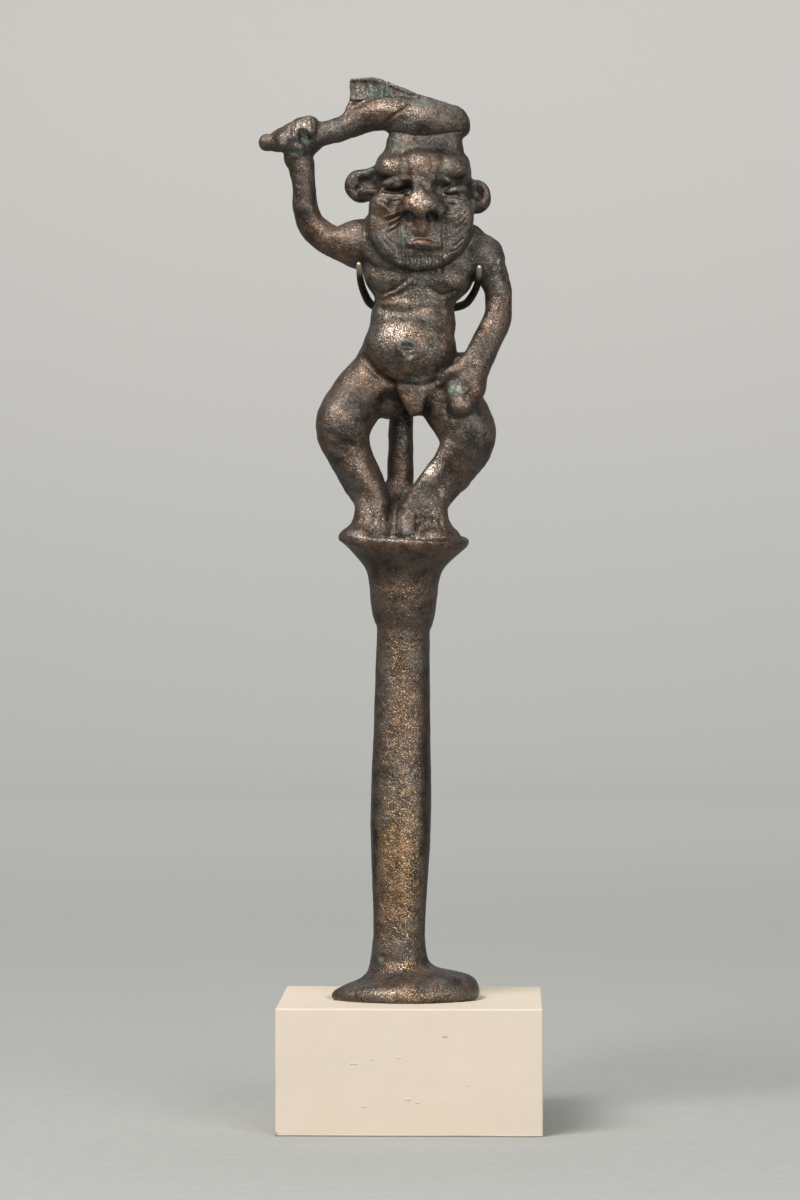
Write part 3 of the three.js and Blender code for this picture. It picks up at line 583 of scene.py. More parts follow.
def column_foot():
    """The column's foot: a turned disc with a thick rounded rim, drawn in front to back, its middle drawn
    to the shaft and its rim thicker to the right."""
    edge = FOOT_EDGE
    outline = profile_of(
        [[FOOT_RADIUS - 0.9, 0], [FOOT_RADIUS - 0.15, 0.5], [FOOT_RADIUS, edge * 0.55],
         [FOOT_RADIUS - 0.5, edge * 1.05], [FOOT_RADIUS * 0.86, edge * 1.35],
         [FOOT_RADIUS * 0.7, edge * 1.62], [FOOT_RADIUS * 0.53, edge * 1.95],
         [SHAFT_BASE_RADIUS + 0.75, edge * 2.5],
         [SHAFT_BASE_RADIUS + 0.1, edge * 3.2], [SHAFT_BASE_RADIUS - 0.4, edge * 4]],
    )
    outline = [[0, 0], *outline, [0, edge * 4]]

    def distance(points):
        x, y, height = points[:, 0] - COLUMN_X, points[:, 1], points[:, 2] - COLUMN_FLOOR
        outward = np.clip(np.hypot(x, y) / FOOT_RADIUS, 0, 1)
        x = x - SHAFT_SHIFT * np.minimum(2 - 2 * outward, 1) * np.clip(height / edge, 0, 1)
        y = y / (1 + (FOOT_DEPTH_RADIUS / FOOT_RADIUS - 1) * outward**2)
        height = height / (1 + FOOT_SLANT / edge * x / FOOT_RADIUS * np.clip(2 - height / edge / 2, 0, 1))
        turn = np.arctan2(y, x)
        radius = np.hypot(x, y) + 0.16 * np.sin(2 * turn + 0.6) + 0.14 * np.sin(5 * turn)
        return outline_distance(radius, height, outline)

    low = np.array([COLUMN_X - FOOT_RADIUS, -FOOT_DEPTH_RADIUS, COLUMN_FLOOR])
    high = np.array([COLUMN_X + FOOT_RADIUS, FOOT_DEPTH_RADIUS, COLUMN_FLOOR + edge * 4])
    return Form(low, high, distance)


# The skin of a form

BLOCK_CELLS = 4  # cells along the side of a block
CLEAR_BLOCKS = 1.4  # how many blocks away the surface can't cross a block


def closed_skin(form, cell):
    """The form's surface as a closed mesh on a cubic grid: one vertex in each cell that the surface
    crosses, at the mean of its crossings, and two triangles across each grid line that it crosses. Blocks
    of cells that lie clear of the surface are never worked out."""
    block = BLOCK_CELLS
    start = form.low - 3 * cell
    blocks = np.ceil((form.high + 3 * cell - start) / (block * cell)).astype(int)
    at_block = np.stack(np.meshgrid(*[np.arange(n) for n in blocks], indexing="ij"), -1).reshape(-1, 3)
    middle = start + (at_block * block + (block - 1) / 2) * cell
    rough = form.distance(middle)
    values = np.repeat(np.repeat(np.repeat(rough.reshape(blocks), block, 0), block, 1), block, 2)
    near = at_block[np.abs(rough) < block * cell * CLEAR_BLOCKS]
    inner = np.stack(np.meshgrid(*[np.arange(block)] * 3, indexing="ij"), -1).reshape(-1, 3)
    at = (near[:, None] * block + inner).reshape(-1, 3)
    values[tuple(at.T)] = form.distance(start + at * cell)
    fill_pinches(values)

    inside = values < 0
    spans = [slice(None, -1), slice(1, None)]
    bits = [(a, b, c) for a in (0, 1) for b in (0, 1) for c in (0, 1)]
    count = sum(inside[spans[a], spans[b], spans[c]].astype(np.int8) for a, b, c in bits)
    cells = np.argwhere((count > 0) & (count < 8))
    value_at = {bit: values[tuple((cells + bit).T)] for bit in bits}
    total, crossings = np.zeros((len(cells), 3)), np.zeros(len(cells))
    for bit in bits:
        for axis in range(3):
            if bit[axis]:
                continue
            end = tuple(b + (n == axis) for n, b in enumerate(bit))
            a, b = value_at[bit], value_at[end]
            crossed = (a < 0) != (b < 0)
            t = np.where(crossed, a / np.where(crossed, a - b, 1), 0)
            crossing = np.array(bit) + t[:, None] * (np.arange(3) == axis)
            total += crossing * crossed[:, None]
            crossings += crossed
    points = start + (cells + total / crossings[:, None]) * cell
    vertex_of = np.full(values.shape, -1, np.int32)
    vertex_of[tuple(cells.T)] = np.arange(len(cells))

    triangles = []
    for axis in range(3):
        lower, upper = [slice(None)] * 3, [slice(None)] * 3
        lower[axis], upper[axis] = spans
        outward = inside[tuple(lower)] & ~inside[tuple(upper)]
        inward = ~inside[tuple(lower)] & inside[tuple(upper)]
        u, v = np.eye(3, dtype=int)[(axis + 1) % 3], np.eye(3, dtype=int)[(axis + 2) % 3]
        for crossed, order in ((outward, (0, 1, 2, 3)), (inward, (3, 2, 1, 0))):
            n = np.argwhere(crossed)
            ring = [vertex_of[tuple(corner.T)] for corner in (n, n - u, n - u - v, n - v)]
            a, b, c, d = [ring[i] for i in order]
            one_way = np.linalg.norm(points[a] - points[c], axis=1)
            other_way = np.linalg.norm(points[b] - points[d], axis=1)
            shorter = (one_way < other_way)[:, None]
            triangles.append(np.where(shorter, np.stack([a, b, c], 1), np.stack([b, c, d], 1)))
            triangles.append(np.where(shorter, np.stack([a, c, d], 1), np.stack([b, d, a], 1)))
    return points, np.concatenate(triangles)


def fill_pinches(values):
    """Where two filled corners of a grid square meet only at its diagonal the skin would touch itself, so
    the empty corner that lies closer to the surface is filled too."""
    while True:
        filled = 0
        for axis in range(3):
            flat = np.moveaxis(values, axis, 2)
            a, b, c, d = flat[:-1, :-1], flat[1:, :-1], flat[1:, 1:], flat[:-1, 1:]
            for first, second, others in ((a, c, (b, d)), (b, d, (a, c))):
                pinched = (first >= 0) & (second >= 0) & (others[0] < 0) & (others[1] < 0)
                for empty, other in ((first, second), (second, first)):
                    fill = pinched & (empty <= other) & (empty >= 0)
                    empty[fill] = -np.maximum(empty[fill], 1e-3)
                    filled += int(fill.sum())
        if not filled:
            return


def edges_of(triangles):
    """Every edge once, as a pair of vertices, and the three edges of each triangle."""
    sides = [triangles[:, [n, (n + 1) % 3]] for n in range(3)]
    pairs = np.sort(np.concatenate(sides), axis=1)
    code = pairs[:, 0].astype(np.int64) * (triangles.max() + 1) + pairs[:, 1]
    _, first, back = np.unique(code, return_index=True, return_inverse=True)
    return pairs[first], back.reshape(3, -1).T


def refined(points, triangles, wanted):
    """Halves every edge that is longer than the wanted length at its middle, and cuts the triangles beside
    it in two, three or four."""
    edges, sides = edges_of(triangles)
    ends = points[edges]
    middle = ends.mean(1)
    split = np.linalg.norm(ends[:, 0] - ends[:, 1], axis=1) > wanted(middle)
    new = np.full(len(edges), -1)
    new[split] = len(points) + np.arange(split.sum())
    marks = split[sides]
    count = marks.sum(1)
    first = np.where(count == 1, marks.argmax(1), (marks.argmin(1) + 1) % 3)
    turn = (first[:, None] + np.arange(3)) % 3
    a, b, c = np.take_along_axis(triangles, turn, 1).T
    ab, bc, ca = new[np.take_along_axis(sides, turn, 1)].T
    made = [
        triangles[count == 0],
        *[np.stack(t, 1)[count == 1] for t in ((a, ab, c), (ab, b, c))],
        *[np.stack(t, 1)[count == 2] for t in ((ab, b, bc), (a, ab, bc), (a, bc, c))],
        *[np.stack(t, 1)[count == 3] for t in ((a, ab, ca), (ab, b, bc), (ca, bc, c), (ab, bc, ca))],
    ]
    return np.concatenate([points, middle[split]]), np.concatenate(made)


def slopes(form, points, step):
    """The distance and its slope at each point, from the corners of a small tetrahedron about it."""
    tips = np.array([[1, -1, -1], [-1, -1, 1], [-1, 1, -1], [1, 1, 1]]) * step
    at_tips = form.distance((points[None] + tips[:, None]).reshape(-1, 3)).reshape(4, -1)
    return at_tips.mean(0), np.einsum("tn,td->nd", at_tips, tips) / (4 * step * step)


def drawn_on(form, points, step, passes, most):
    """Points moved along the slope on to the form's surface, by at most a given way each time."""
    for _ in range(passes):
        value, slope = slopes(form, points, step)
        steep = np.maximum(np.einsum("ij,ij->i", slope, slope), 0.3)
        points = points - slope * np.clip(value / steep, -most, most)[:, None]
    return points


def normals_of(points, triangles):
    """Vertex normals: the sum of the areas' normals about each vertex, made unit long."""
    a, b, c = (points[triangles[:, n]] for n in range(3))
    area = np.cross(b - a, c - a)
    at = triangles.ravel()
    total = np.stack([np.bincount(at, np.repeat(area[:, n], 3), len(points)) for n in range(3)], 1)
    return total / np.maximum(np.linalg.norm(total, axis=1, keepdims=True), 1e-12)


def evened(points, triangles, share):
    """Vertices moved along the surface towards the mean of their neighbours."""
    edges, _ = edges_of(triangles)
    here, there = np.concatenate([edges, edges[:, ::-1]]).T
    count = np.bincount(here, minlength=len(points))[:, None]
    total = np.stack([np.bincount(here, points[there, n], len(points)) for n in range(3)], 1)
    normals = normals_of(points, triangles)
    move = total / count - points
    move -= np.einsum("ij,ij->i", move, normals)[:, None] * normals
    return points + share * move


# Unevenness of the cast surface

LATTICE = 32


def value_noise(points, size, seed):
    """Smooth random bumps of about the given size, from -1 to 1: random values on a lattice, joined by a
    smooth step between its corners."""
    table = np.random.default_rng(seed).uniform(-1, 1, (LATTICE, LATTICE, LATTICE))
    lattice = points / size + seed * 0.37
    cell = np.floor(lattice).astype(int)
    t = lattice - cell
    t = t * t * (3 - 2 * t)
    total = np.zeros(len(points))
    for a in (0, 1):
        for b in (0, 1):
            for c in (0, 1):
                weight = np.prod(np.where([a, b, c], t, 1 - t), axis=1)
                total += weight * table[tuple(((cell + [a, b, c]) % LATTICE).T)]
    return total


def stroke_depth(x, z, line, width):
    """How deep a drawn stroke is at each place of the front view, from 0 to 1: full on its line [x, z], and
    nothing a width away from it."""
    nearest = np.full(len(x), FAR)
    for (ax, az), (bx, bz) in zip(line, line[1:]):
        dx, dz = bx - ax, bz - az
        t = np.clip(((x - ax) * dx + (z - az) * dz) / (dx * dx + dz * dz), 0, 1)
        np.minimum(nearest, np.hypot(x - ax - dx * t, z - az - dz * t), out=nearest)
    near = np.clip(1 - (nearest / width) ** 2, 0, 1)
    return near * near


def row(start, end, count, line):
    """The same short line [x, z] repeated evenly from one place to another."""
    places = np.linspace(start, end, count)
    return [[list(place + np.array(point)) for point in line] for place in places]


def drawn_strokes():
    """The engraver's strokes on the front, as (line in shares, half width, depth) with raised ones
    negative."""
    strokes = []

    def draw(width, deep, *lines):
        strokes.extend((spline(line, 3) if len(line) > 2 else line, width, deep) for line in lines)

    # The face: beard, whiskers, the square round the mouth, the frown and the folds beside the eyes
    for n, line in enumerate(row([-0.5, 61.0], [8.3, 60.9], 12, [[0, -0.4], [0.15, -1.8], [-0.1, -3.1]])):
        line[2][1] += 0.5 * (n % 3 == 1) - 0.3 * (n % 2)
        draw(0.32, 0.3 + 0.12 * (n % 3), line)
    draw(0.34, 0.5, [[-3.9, 68.4], [-2.5, 68.8], [-1.2, 69.4]], [[-3.2, 67.2], [-2.0, 67.7], [-0.9, 68.3]],
         [[-3.4, 65.8], [-2.2, 66.4], [-1.2, 67.1]])
    draw(0.3, -0.26, [[-3.9, 69.2], [-2.5, 69.6], [-1.3, 70.1]], [[-3.1, 68.0], [-2.0, 68.4], [-1.0, 69.0]])
    draw(0.34, 0.24, [[11.2, 66.5], [12.3, 67.3], [13.3, 68.5]], [[10.8, 62.8], [11.8, 63.4], [12.6, 64.4]],
         [[10.0, 61.6], [11.2, 61.9], [12.4, 62.9]])
    draw(0.3, 0.13, [[9.8, 69.4], [11.4, 69.8], [12.8, 70.8]], [[10.2, 67.8], [12.2, 68.6], [13.8, 70.4]],
         [[10.4, 64.6], [12.2, 65.6], [13.4, 67.2]], [[-5.6, 67.6], [-5.0, 65.0], [-3.2, 62.6]],
         [[-6.6, 67.0], [-5.8, 64.0], [-4.0, 61.6]], [[-4.4, 66.4], [-3.6, 64.6], [-2.2, 63.4]])
    draw(0.6, 0.5, [[-1.0, 67.4], [-0.8, 63.0], [-0.8, 59.8]])
    draw(0.8, 0.32, [[8.8, 69.4], [8.7, 65.4], [8.9, 61.0]])
    draw(1.4, 0.42, [[0.0, 82.8], [0.3, 80.6], [0.7, 77.8]], [[8.7, 82.4], [8.6, 80.4], [8.0, 77.8]])
    draw(0.3, 0.16, [[2.4, 82.4], [2.8, 80.6], [2.2, 79.2]], [[5.9, 82.2], [6.3, 80.2], [5.7, 78.6]])
    draw(2.6, -0.3, [[-3.8, 81.0], [-2.9, 78.4]], [[11.6, 80.8], [11.4, 78.0]])
    draw(0.3, -0.3, [[-4.2, 73.3], [-2.4, 72.9], [-0.6, 73.2]])
    draw(0.6, 0.5, [[-4.3, 74.9], [-1.8, 74.5], [1.0, 75.4]])
    draw(0.4, 0.24, [[-5.2, 72.4], [-2.6, 71.4], [-0.2, 71.6]], [[8.6, 72.0], [11.4, 71.6], [13.8, 72.6]])

    # The crown and the sword
    draw(0.36, 0.6, [[-4.2, 99.2], [-4.3, 96.0]])
    draw(0.34, 0.42, [[-9.6, 99.4], [-9.4, 96.4]], [[-1.2, 97.6], [-1.5, 95.9]], [[3.6, 96.2], [3.2, 94.8]],
         [[-10.9, 99.0], [-10.9, 96.2]])
    draw(0.45, -0.42, [[-11.2, 95.2], [-7.4, 95.5], [-4.4, 96.0]])
    draw(0.5, -0.4, [[-11.4, 99.5], [-8.2, 99.6], [-4.7, 99.1], [-1.2, 97.6], [2.3, 96.3]])
    draw(0.8, 0.4, [[-8.6, 98.6], [-8.2, 96.9]], [[-6.4, 98.2], [-5.6, 96.6]], [[-3.0, 97.6], [-2.6, 96.2]])
    draw(0.3, 0.26, [[-11.4, 94.0], [-8.3, 93.9]])
    draw(0.5, 0.6, [[1.4, 93.9], [-1.6, 91.8], [-4.3, 89.7]])
    draw(0.4, 0.3, [[-3.2, 88.2], [4.0, 86.9], [12.4, 88.0]])

    # The trunk: the fold under each breast, the rib line, the belly's fold, and the scar under the navel
    draw(0.5, -0.5, [[-4.2, 52.5], [-1.5, 53.3], [0.1, 54.4], [1.6, 55.5]])
    draw(0.6, 0.45, [[-7.2, 53.6], [-4.4, 52.9], [-1.8, 53.9], [0.2, 55.6]])
    draw(0.7, 0.5, [[5.2, 54.2], [8.2, 52.4], [11.2, 53.4]])
    draw(1.5, 0.34, [[-4.6, 49.4], [-0.5, 48.9], [4.6, 49.5], [8.0, 49.2]])
    draw(1.1, 0.55, [[-8.8, 39.4], [-7.3, 37.0], [-5.1, 34.9], [-2.6, 33.6], [0.6, 33.1], [4.5, 33.0],
                     [7.1, 33.9]])
    draw(0.5, -0.3, [[-0.2, 39.6], [1.0, 38.5], [2.6, 39.2]])

    # The legs: faint creases under the knees, and file marks on the left shin
    draw(1.3, 0.35, [[-16.0, 22.4], [-13.8, 21.4], [-11.0, 19.8]])
    draw(1.3, 0.16, [[9.8, 21.4], [12.4, 20.0], [15.6, 19.4]])
    draw(0.16, 0.12, *row([8.2, 18.0], [12.4, 17.6], 4, [[-0.4, -4.6], [1.8, -1.8], [3.2, 0.2]]))

    # The toes, and the trough between the feet
    draw(0.35, 0.32, [[2.6, 4.6], [3.3, 2.4]], [[4.3, 4.4], [5.2, 2.0]], [[6.1, 4.2], [7.1, 1.8]],
         [[7.7, 3.8], [8.8, 1.5]])
    draw(0.35, 0.32, [[-4.6, 4.6], [-4.7, 2.6]], [[-6.6, 4.6], [-7.1, 2.4]], [[-8.8, 4.2], [-9.7, 2.1]])
    draw(0.8, 0.5, [[-1.6, 8.6], [-2.0, 5.8], [-2.1, 2.0]])

    # The knuckles of the raised fist, and a crease of the lower hand
    draw(0.42, 0.6, [[-23.8, 90.6], [-24.1, 88.2], [-23.5, 85.6]])
    draw(0.3, 0.36, [[-21.2, 91.2], [-20.9, 89.2]], [[-19.9, 90.8], [-19.6, 88.9]])
    draw(0.34, 0.34, [[13.2, 30.2], [14.6, 32.0]])
    return strokes


# Patches in the front view: patina of copper, gold, green and pale earth, painted shade (dark) and painted
# highlight (bright). Each is given by its middle, half width and half height in pixels of the photograph's
# frame, its turn in degrees and its strength. In that frame the figure's foot stands at PHOTO_X and
# PHOTO_Y, and one share is PHOTO_STEPS pixels.
PHOTO_X, PHOTO_Y, PHOTO_STEPS = 404.5, 538, 4.6
PATCHES = {
    "copper": [
        (420, 208, 18, 14, 0, 1.4), (423, 230, 8, 12, 0, 0.9), (426, 245, 14, 4, 0, 1.2),
        (449, 232, 4, 28, 0, 0.5), (392, 168, 14, 12, 0, 0.6), (415, 168, 9, 12, 0, 0.5),
        (462, 172, 9, 12, 0, 0.8), (395, 112, 40, 9, -10, 0.7), (311, 118, 5, 7, 0, 1.0),
        (278, 137, 5, 7, 30, 1.0), (318, 232, 18, 24, 35, 0.5), (345, 262, 30, 10, -28, 0.6),
        (380, 276, 26, 9, -16, 0.6), (400, 302, 34, 9, -14, 0.9), (447, 340, 6, 18, 0, 0.8),
        (405, 330, 34, 14, 0, 0.6), (400, 372, 34, 12, 0, 0.7), (430, 365, 18, 10, 20, 0.7),
        (456, 371, 14, 4.5, 25, 1.0), (474, 395, 6, 7, 0, 1.0), (462, 407, 14, 8, 0, 0.5),
        (378, 389, 8, 5, 0, 0.9), (344, 417, 12, 14, 0, 0.8), (350, 463, 24, 7, -50, 1.0),
        (365, 440, 5, 18, 10, 0.7), (489, 441, 8, 12, 0, 1.0), (409, 398, 9, 14, 0, 0.9),
        (440, 470, 8, 26, 35, 0.5), (500, 330, 8, 30, 10, 0.5), (400, 548, 60, 7, 0, 0.9),
        (402, 590, 36, 12, 0, 0.5), (372, 660, 5, 60, 0, 0.3), (430, 472, 7, 34, 32, 0.9),
        (395, 186, 10, 5, 0, 0.6), (402, 420, 24, 10, 0, 0.7),
    ],
    "gold": [
        (398, 860, 28, 95, 0, 0.85), (398, 720, 26, 90, 0, 0.45), (387, 860, 11, 90, 0, 0.4),
        (412, 855, 9, 90, 0, 0.4), (391, 740, 14, 60, 0, 0.3), (396, 660, 16, 34, 0, 0.4),
        (413, 730, 6, 60, 0, 0.35), (408, 963, 7, 6, 0, 1.0), (404, 990, 50, 6, 0, 0.4),
        (400, 590, 28, 26, 0, 0.35), (385, 937, 9, 16, 0, 0.6),
    ],
    "green": [
        (305, 137, 7, 9, 0, 1.0), (299, 153, 6, 4, 0, 1.2), (311, 208, 3, 5, 0, 0.8),
        (378, 92, 24, 9, 0, 0.9), (390, 89, 6, 8, 0, 1.0), (423, 105, 10, 7, -20, 0.9),
        (445, 169, 2, 6, -20, 1.3), (406, 166, 2.5, 9, 0, 0.6), (370, 178, 8, 14, 0, 0.7),
        (386, 203, 8, 5, 0, 0.3), (403, 240, 4, 12, 0, 0.9), (412, 220, 7, 6, 0, 0.8),
        (435, 219, 6, 6, 0, 0.6), (385, 233, 3, 2, 0, 1.0), (408, 347, 9, 5, 0, 1.3),
        (411, 359, 8, 5, 0, 0.7), (417, 382, 12, 4, 0, 0.9), (455, 392, 12, 7, 30, 0.9),
        (403, 492, 5, 5, 0, 0.8), (497, 290, 5, 8, 0, 0.7), (382, 958, 4, 4, 0, 1.3),
        (420, 305, 20, 6, 0, 0.4), (405, 112, 6, 6, 0, 0.5), (476, 262, 6, 6, 0, 0.5),
        (396, 256, 6, 10, 0, 0.5), (345, 210, 6, 6, 0, 0.3),
    ],
    # Pale earth; under the figure's right eye and on the toes' ridges these marks are also a painted
    # highlight.
    "pale": [
        (386, 199, 8, 6, 0, 0.6), (457, 193, 8, 4, 10, 0.7), (411, 359, 8, 5, 0, 1.0),
        (457, 390, 12, 8, 30, 0.9), (418, 522, 2, 5, -30, 0.8), (427, 523, 2, 5, -30, 0.8),
        (434, 525, 2, 5, -30, 0.7), (441, 527, 2, 5, -30, 0.6), (384, 519, 2, 3, 0, 0.7),
        (404, 515, 4, 20, 0, 0.7), (385, 233, 2, 1.5, 0, 1.1), (352, 243, 7, 12, 0, 0.3),
        (366, 236, 4, 14, 0, 0.7), (375, 525, 24, 8, 0, 0.4), (498, 262, 4, 6, 0, 0.8),
        (440, 525, 20, 6, 0, 0.3),
    ],
    # Painted shade: places darkened where the light leaves them dim, as the eye sockets and nostrils, the
    # line under the lip, under the crown's roll, the groin, between the legs, under the umbel, the shaft's
    # sides and base, the top of the foot, and dim stretches of the arms and thighs.
    "dark": [
        (397, 188, 15, 7, -4, 0.9), (440, 186, 10, 8, 0, 0.9), (462, 185, 12, 5, 0, 0.6),
        (425, 146, 40, 8, 4, 0.6), (392, 394, 22, 10, 20, 0.9), (375, 400, 16, 14, 0, 0.6),
        (386, 500, 4, 22, 0, 0.8), (375, 800, 3.5, 170, 0, 0.8), (426, 800, 3.5, 170, 0, 0.9),
        (399, 860, 2, 76, 0, 0.45), (424, 249, 16, 2.5, 0, 1.0), (447, 408, 14, 10, 0, 0.7),
        (355, 402, 16, 20, 20, 0.9), (400, 582, 44, 34, 0, 0.35), (475, 435, 15, 22, 0, 0.9),
        (399, 950, 24, 14, 0, 0.4), (350, 96, 4, 8, 0, 0.4), (372, 345, 7, 26, 0, 0.3),
        (420, 412, 10, 10, 0, 0.6), (304, 192, 11, 36, 0, 0.9), (432, 124, 32, 9, 0, 0.6),
        (406, 219, 7, 7, 0, 0.5), (432, 219, 6, 6, 0, 0.5), (348, 440, 10, 10, 0, 0.3),
        (395, 972, 40, 5, 0, 0.5), (455, 975, 18, 5, 0, 0.4),
    ],
    # Painted highlight: places turned to paler bare metal where the light catches them, as the belly, the
    # shins, the forehead, the nose, the lip and the beard, the crown, the fists, the arms, the umbel's rim,
    # the foot's front edge and a line down the shaft.
    "bright": [
        (395, 331, 22, 13, -12, 1.0), (372, 336, 7, 10, 0, 0.4), (431, 472, 4.5, 34, 32, 1.7),
        (450, 452, 5, 9, 25, 0.7), (386, 199, 8, 5, 0, 0.8), (420, 200, 12, 9, 0, 0.8),
        (390, 168, 9, 8, 0, 0.7), (416, 165, 8, 8, 0, 0.6), (464, 176, 4, 9, 0, 0.6),
        (424, 262, 22, 9, 0, 1.5), (416, 240, 10, 2, 0, 0.6), (365, 92, 10, 7, 0, 0.6),
        (388, 86, 18, 3, 0, 0.8), (395, 110, 24, 5, -8, 0.4), (300, 128, 16, 9, -20, 0.7),
        (470, 355, 4, 30, 48, 0.8), (496, 315, 4, 20, -10, 0.5), (345, 362, 5, 14, 25, 0.7),
        (400, 537, 52, 2.5, 0, 1.5), (378, 985, 22, 3, 0, 0.6), (445, 989, 26, 3, 0, 0.6),
        (455, 215, 8, 12, 0, 0.4), (404, 300, 22, 5, -25, 0.5), (419, 735, 2, 50, 0, 0.5),
        (434, 512, 12, 8, 0, 0.6), (372, 512, 10, 8, 0, 0.4), (438, 480, 12, 34, 32, 1.0),
        (362, 478, 9, 26, -25, 0.4), (402, 420, 24, 10, 0, 0.9), (300, 132, 18, 14, 0, 0.4),
        (412, 290, 34, 10, 0, 0.5), (422, 206, 10, 9, 0, 1.0),
    ],
}


def patched(points, normals, patches):
    """How much of one list of patches each point carries, from 0 up. The lists hold oxide marks, painted
    shade and painted highlight. Over each patch a bell that falls off with the square of its reach, on what
    faces the front."""
    x, _, z = ((points - FIGURE_FOOT) / UNIT).T
    across, down = PHOTO_X + x * PHOTO_STEPS, PHOTO_Y - z * PHOTO_STEPS
    facing = np.clip((0.1 - normals[:, 1]) * 2, 0, 1)
    total = np.zeros(len(points))
    for at_x, at_y, half_x, half_y, turn, strength in patches:
        cos, sin = math.cos(math.radians(turn)), math.sin(math.radians(turn))
        u = ((across - at_x) * cos - (down - at_y) * sin) / half_x
        v = ((across - at_x) * sin + (down - at_y) * cos) / half_y
        total = np.maximum(total, strength * np.exp(-(u * u + v * v)))
    return total * facing


def weathered(points, triangles):
    """The cast surface with its strokes and its unevenness: each point moves along its normal, in by the
    depth of the strokes on what faces the front and of small pits, and in or out by soft lumps, which are
    rougher on the head and the crown."""
    normals = normals_of(points, triangles)
    x, _, z = ((points - FIGURE_FOOT) / UNIT).T
    facing = np.clip((-normals[:, 1] - 0.1) * 2.5, 0, 1)
    depth = np.zeros(len(points))
    for line, width, deep in drawn_strokes():
        low, high = np.min(line, 0) - width, np.max(line, 0) + width
        near = np.flatnonzero((x > low[0]) & (x < high[0]) & (z > low[1]) & (z < high[1]) & (facing > 0))
        depth[near] += stroke_depth(x[near], z[near], line, width) * facing[near] * deep * UNIT
    on_figure = np.clip((points[:, 2] - UMBEL_TOP + 1) / 3, 0, 1)
    lumps = 0.10 * value_noise(points, 3.1, 1) + 0.065 * value_noise(points, 1.5, 2)
    rough = 0.06 * np.clip((z - HEAD_FROM) / 3, 0, 1) + 0.12 * np.clip((z - PLUMES_FROM) / 2, 0, 1)
    lumps += rough * value_noise(points, 1.1, 5)
    grain = 0.032 * value_noise(points, 0.75, 3)
    pits = np.clip(value_noise(points, 0.62, 4) - 0.55, 0, 1) * 0.16
    rise = (lumps + grain) * (0.45 + 0.55 * on_figure) - pits * on_figure - depth
    return points + normals * rise[:, None]


def wanted_length(points):
    """How long an edge of the skin may be: short on the face, the crown, the hands and the feet, longer on
    the limbs' fronts, and longest on the back and the shaft."""
    x, y, z = ((points - FIGURE_FOOT) / UNIT).T
    length = np.full(len(points), 0.95)
    length[(z > -2) & (y < 2)] = 0.62  # the figure's front half
    length[(z > 30) & (z < 66) & (y < -1)] = 0.46  # the trunk
    length[(z > 57) & (z < 84) & (x > -14) & (x < 20) & (y < -3)] = 0.30  # the mask and the ears
    length[(z > 60) & (z < 80) & (x > -7) & (x < 14) & (y < -5)] = 0.25  # eyes, nose and mouth
    length[(z > 84) & (y < 1)] = 0.34  # the crown
    length[(x < -17) & (z > 82)] = 0.34  # the raised fist
    length[(x > 6) & (z > 25) & (z < 39) & (y < -4)] = 0.32  # the lower hand
    length[(z > -3) & (z < 10) & (y < -2)] = 0.34  # the feet
    return length


def piece(name, points, faces, material, slot, *nodes, **attributes):
    """A finished mesh in metres on the one body, standing for its CAD nodes, with a number at each vertex
    for each attribute."""
    mesh = bpy.data.meshes.new(name)
    mesh.from_pydata((points * MM).tolist(), [], faces.tolist())
    for key, values in attributes.items():
        mesh.attributes.new(key, "FLOAT", "POINT").data.foreach_set("value", values.astype(np.float32))
    mesh.shade_smooth()
    mesh.materials.append(material)
    made = bpy.data.objects.new(name, mesh)
    bpy.context.scene.collection.objects.link(made)
    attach(made, "root")
    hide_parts(*nodes)
    return made


FIRST_CELL = 0.8
HALVINGS = 3  # rounds in which long edges are halved
HOLLOW_REACHES = (0.7, 1.8, 3.6)  # how far out metal is felt for
WORN_DEPTH = 1.1  # how far in metal is felt for


def make_bronze(material):
    """The bronze in one skin: figure, umbel, shaft and foot. A place is hollow as far as metal stands
    within a few reaches in front of it, and worn as far as the metal behind it is thin or sharp."""
    form = group(
        join(column(), 1),
        join(column_foot(), 1.2),
        join(placed(figure(), FIGURE_FOOT, UNIT), 0.9),
    )
    points, triangles = closed_skin(form, FIRST_CELL)
    points = drawn_on(form, points, step=0.06, passes=2, most=FIRST_CELL / 2)
    for _ in range(HALVINGS):
        points, triangles = refined(points, triangles, wanted_length)
        points = evened(points, triangles, share=0.5)
        points = drawn_on(form, points, step=0.03, passes=2, most=0.15)

    normals = normals_of(points, triangles)
    hollow = np.zeros(len(points))
    for away in HOLLOW_REACHES:
        open_air = np.clip(form.distance(points + normals * away) / away, 0, 1)
        hollow += (1 - open_air) / len(HOLLOW_REACHES)
    worn = 1 - np.clip(-form.distance(points - normals * WORN_DEPTH) / WORN_DEPTH, 0, 1)
    patina_and_painted_light = {name: patched(points, normals, patches) for name, patches in PATCHES.items()}
    points = weathered(points, triangles)
    piece("bes_on_column", points, triangles, material, "bronze", "bes_bronze",
          hollow=hollow, worn=worn, **patina_and_painted_light)


# The mount

def grid_faces(rows, columns, closed):
    """Quads over a grid of rows and columns, the rows closed to rings where asked."""
    i, j = np.meshgrid(np.arange(rows - 1), np.arange(columns if closed else columns - 1), indexing="ij")
    a, b = i * columns + j, i * columns + (j + 1) % columns
    return np.stack([a, b, b + columns, a + columns], -1).reshape(-1, 4)


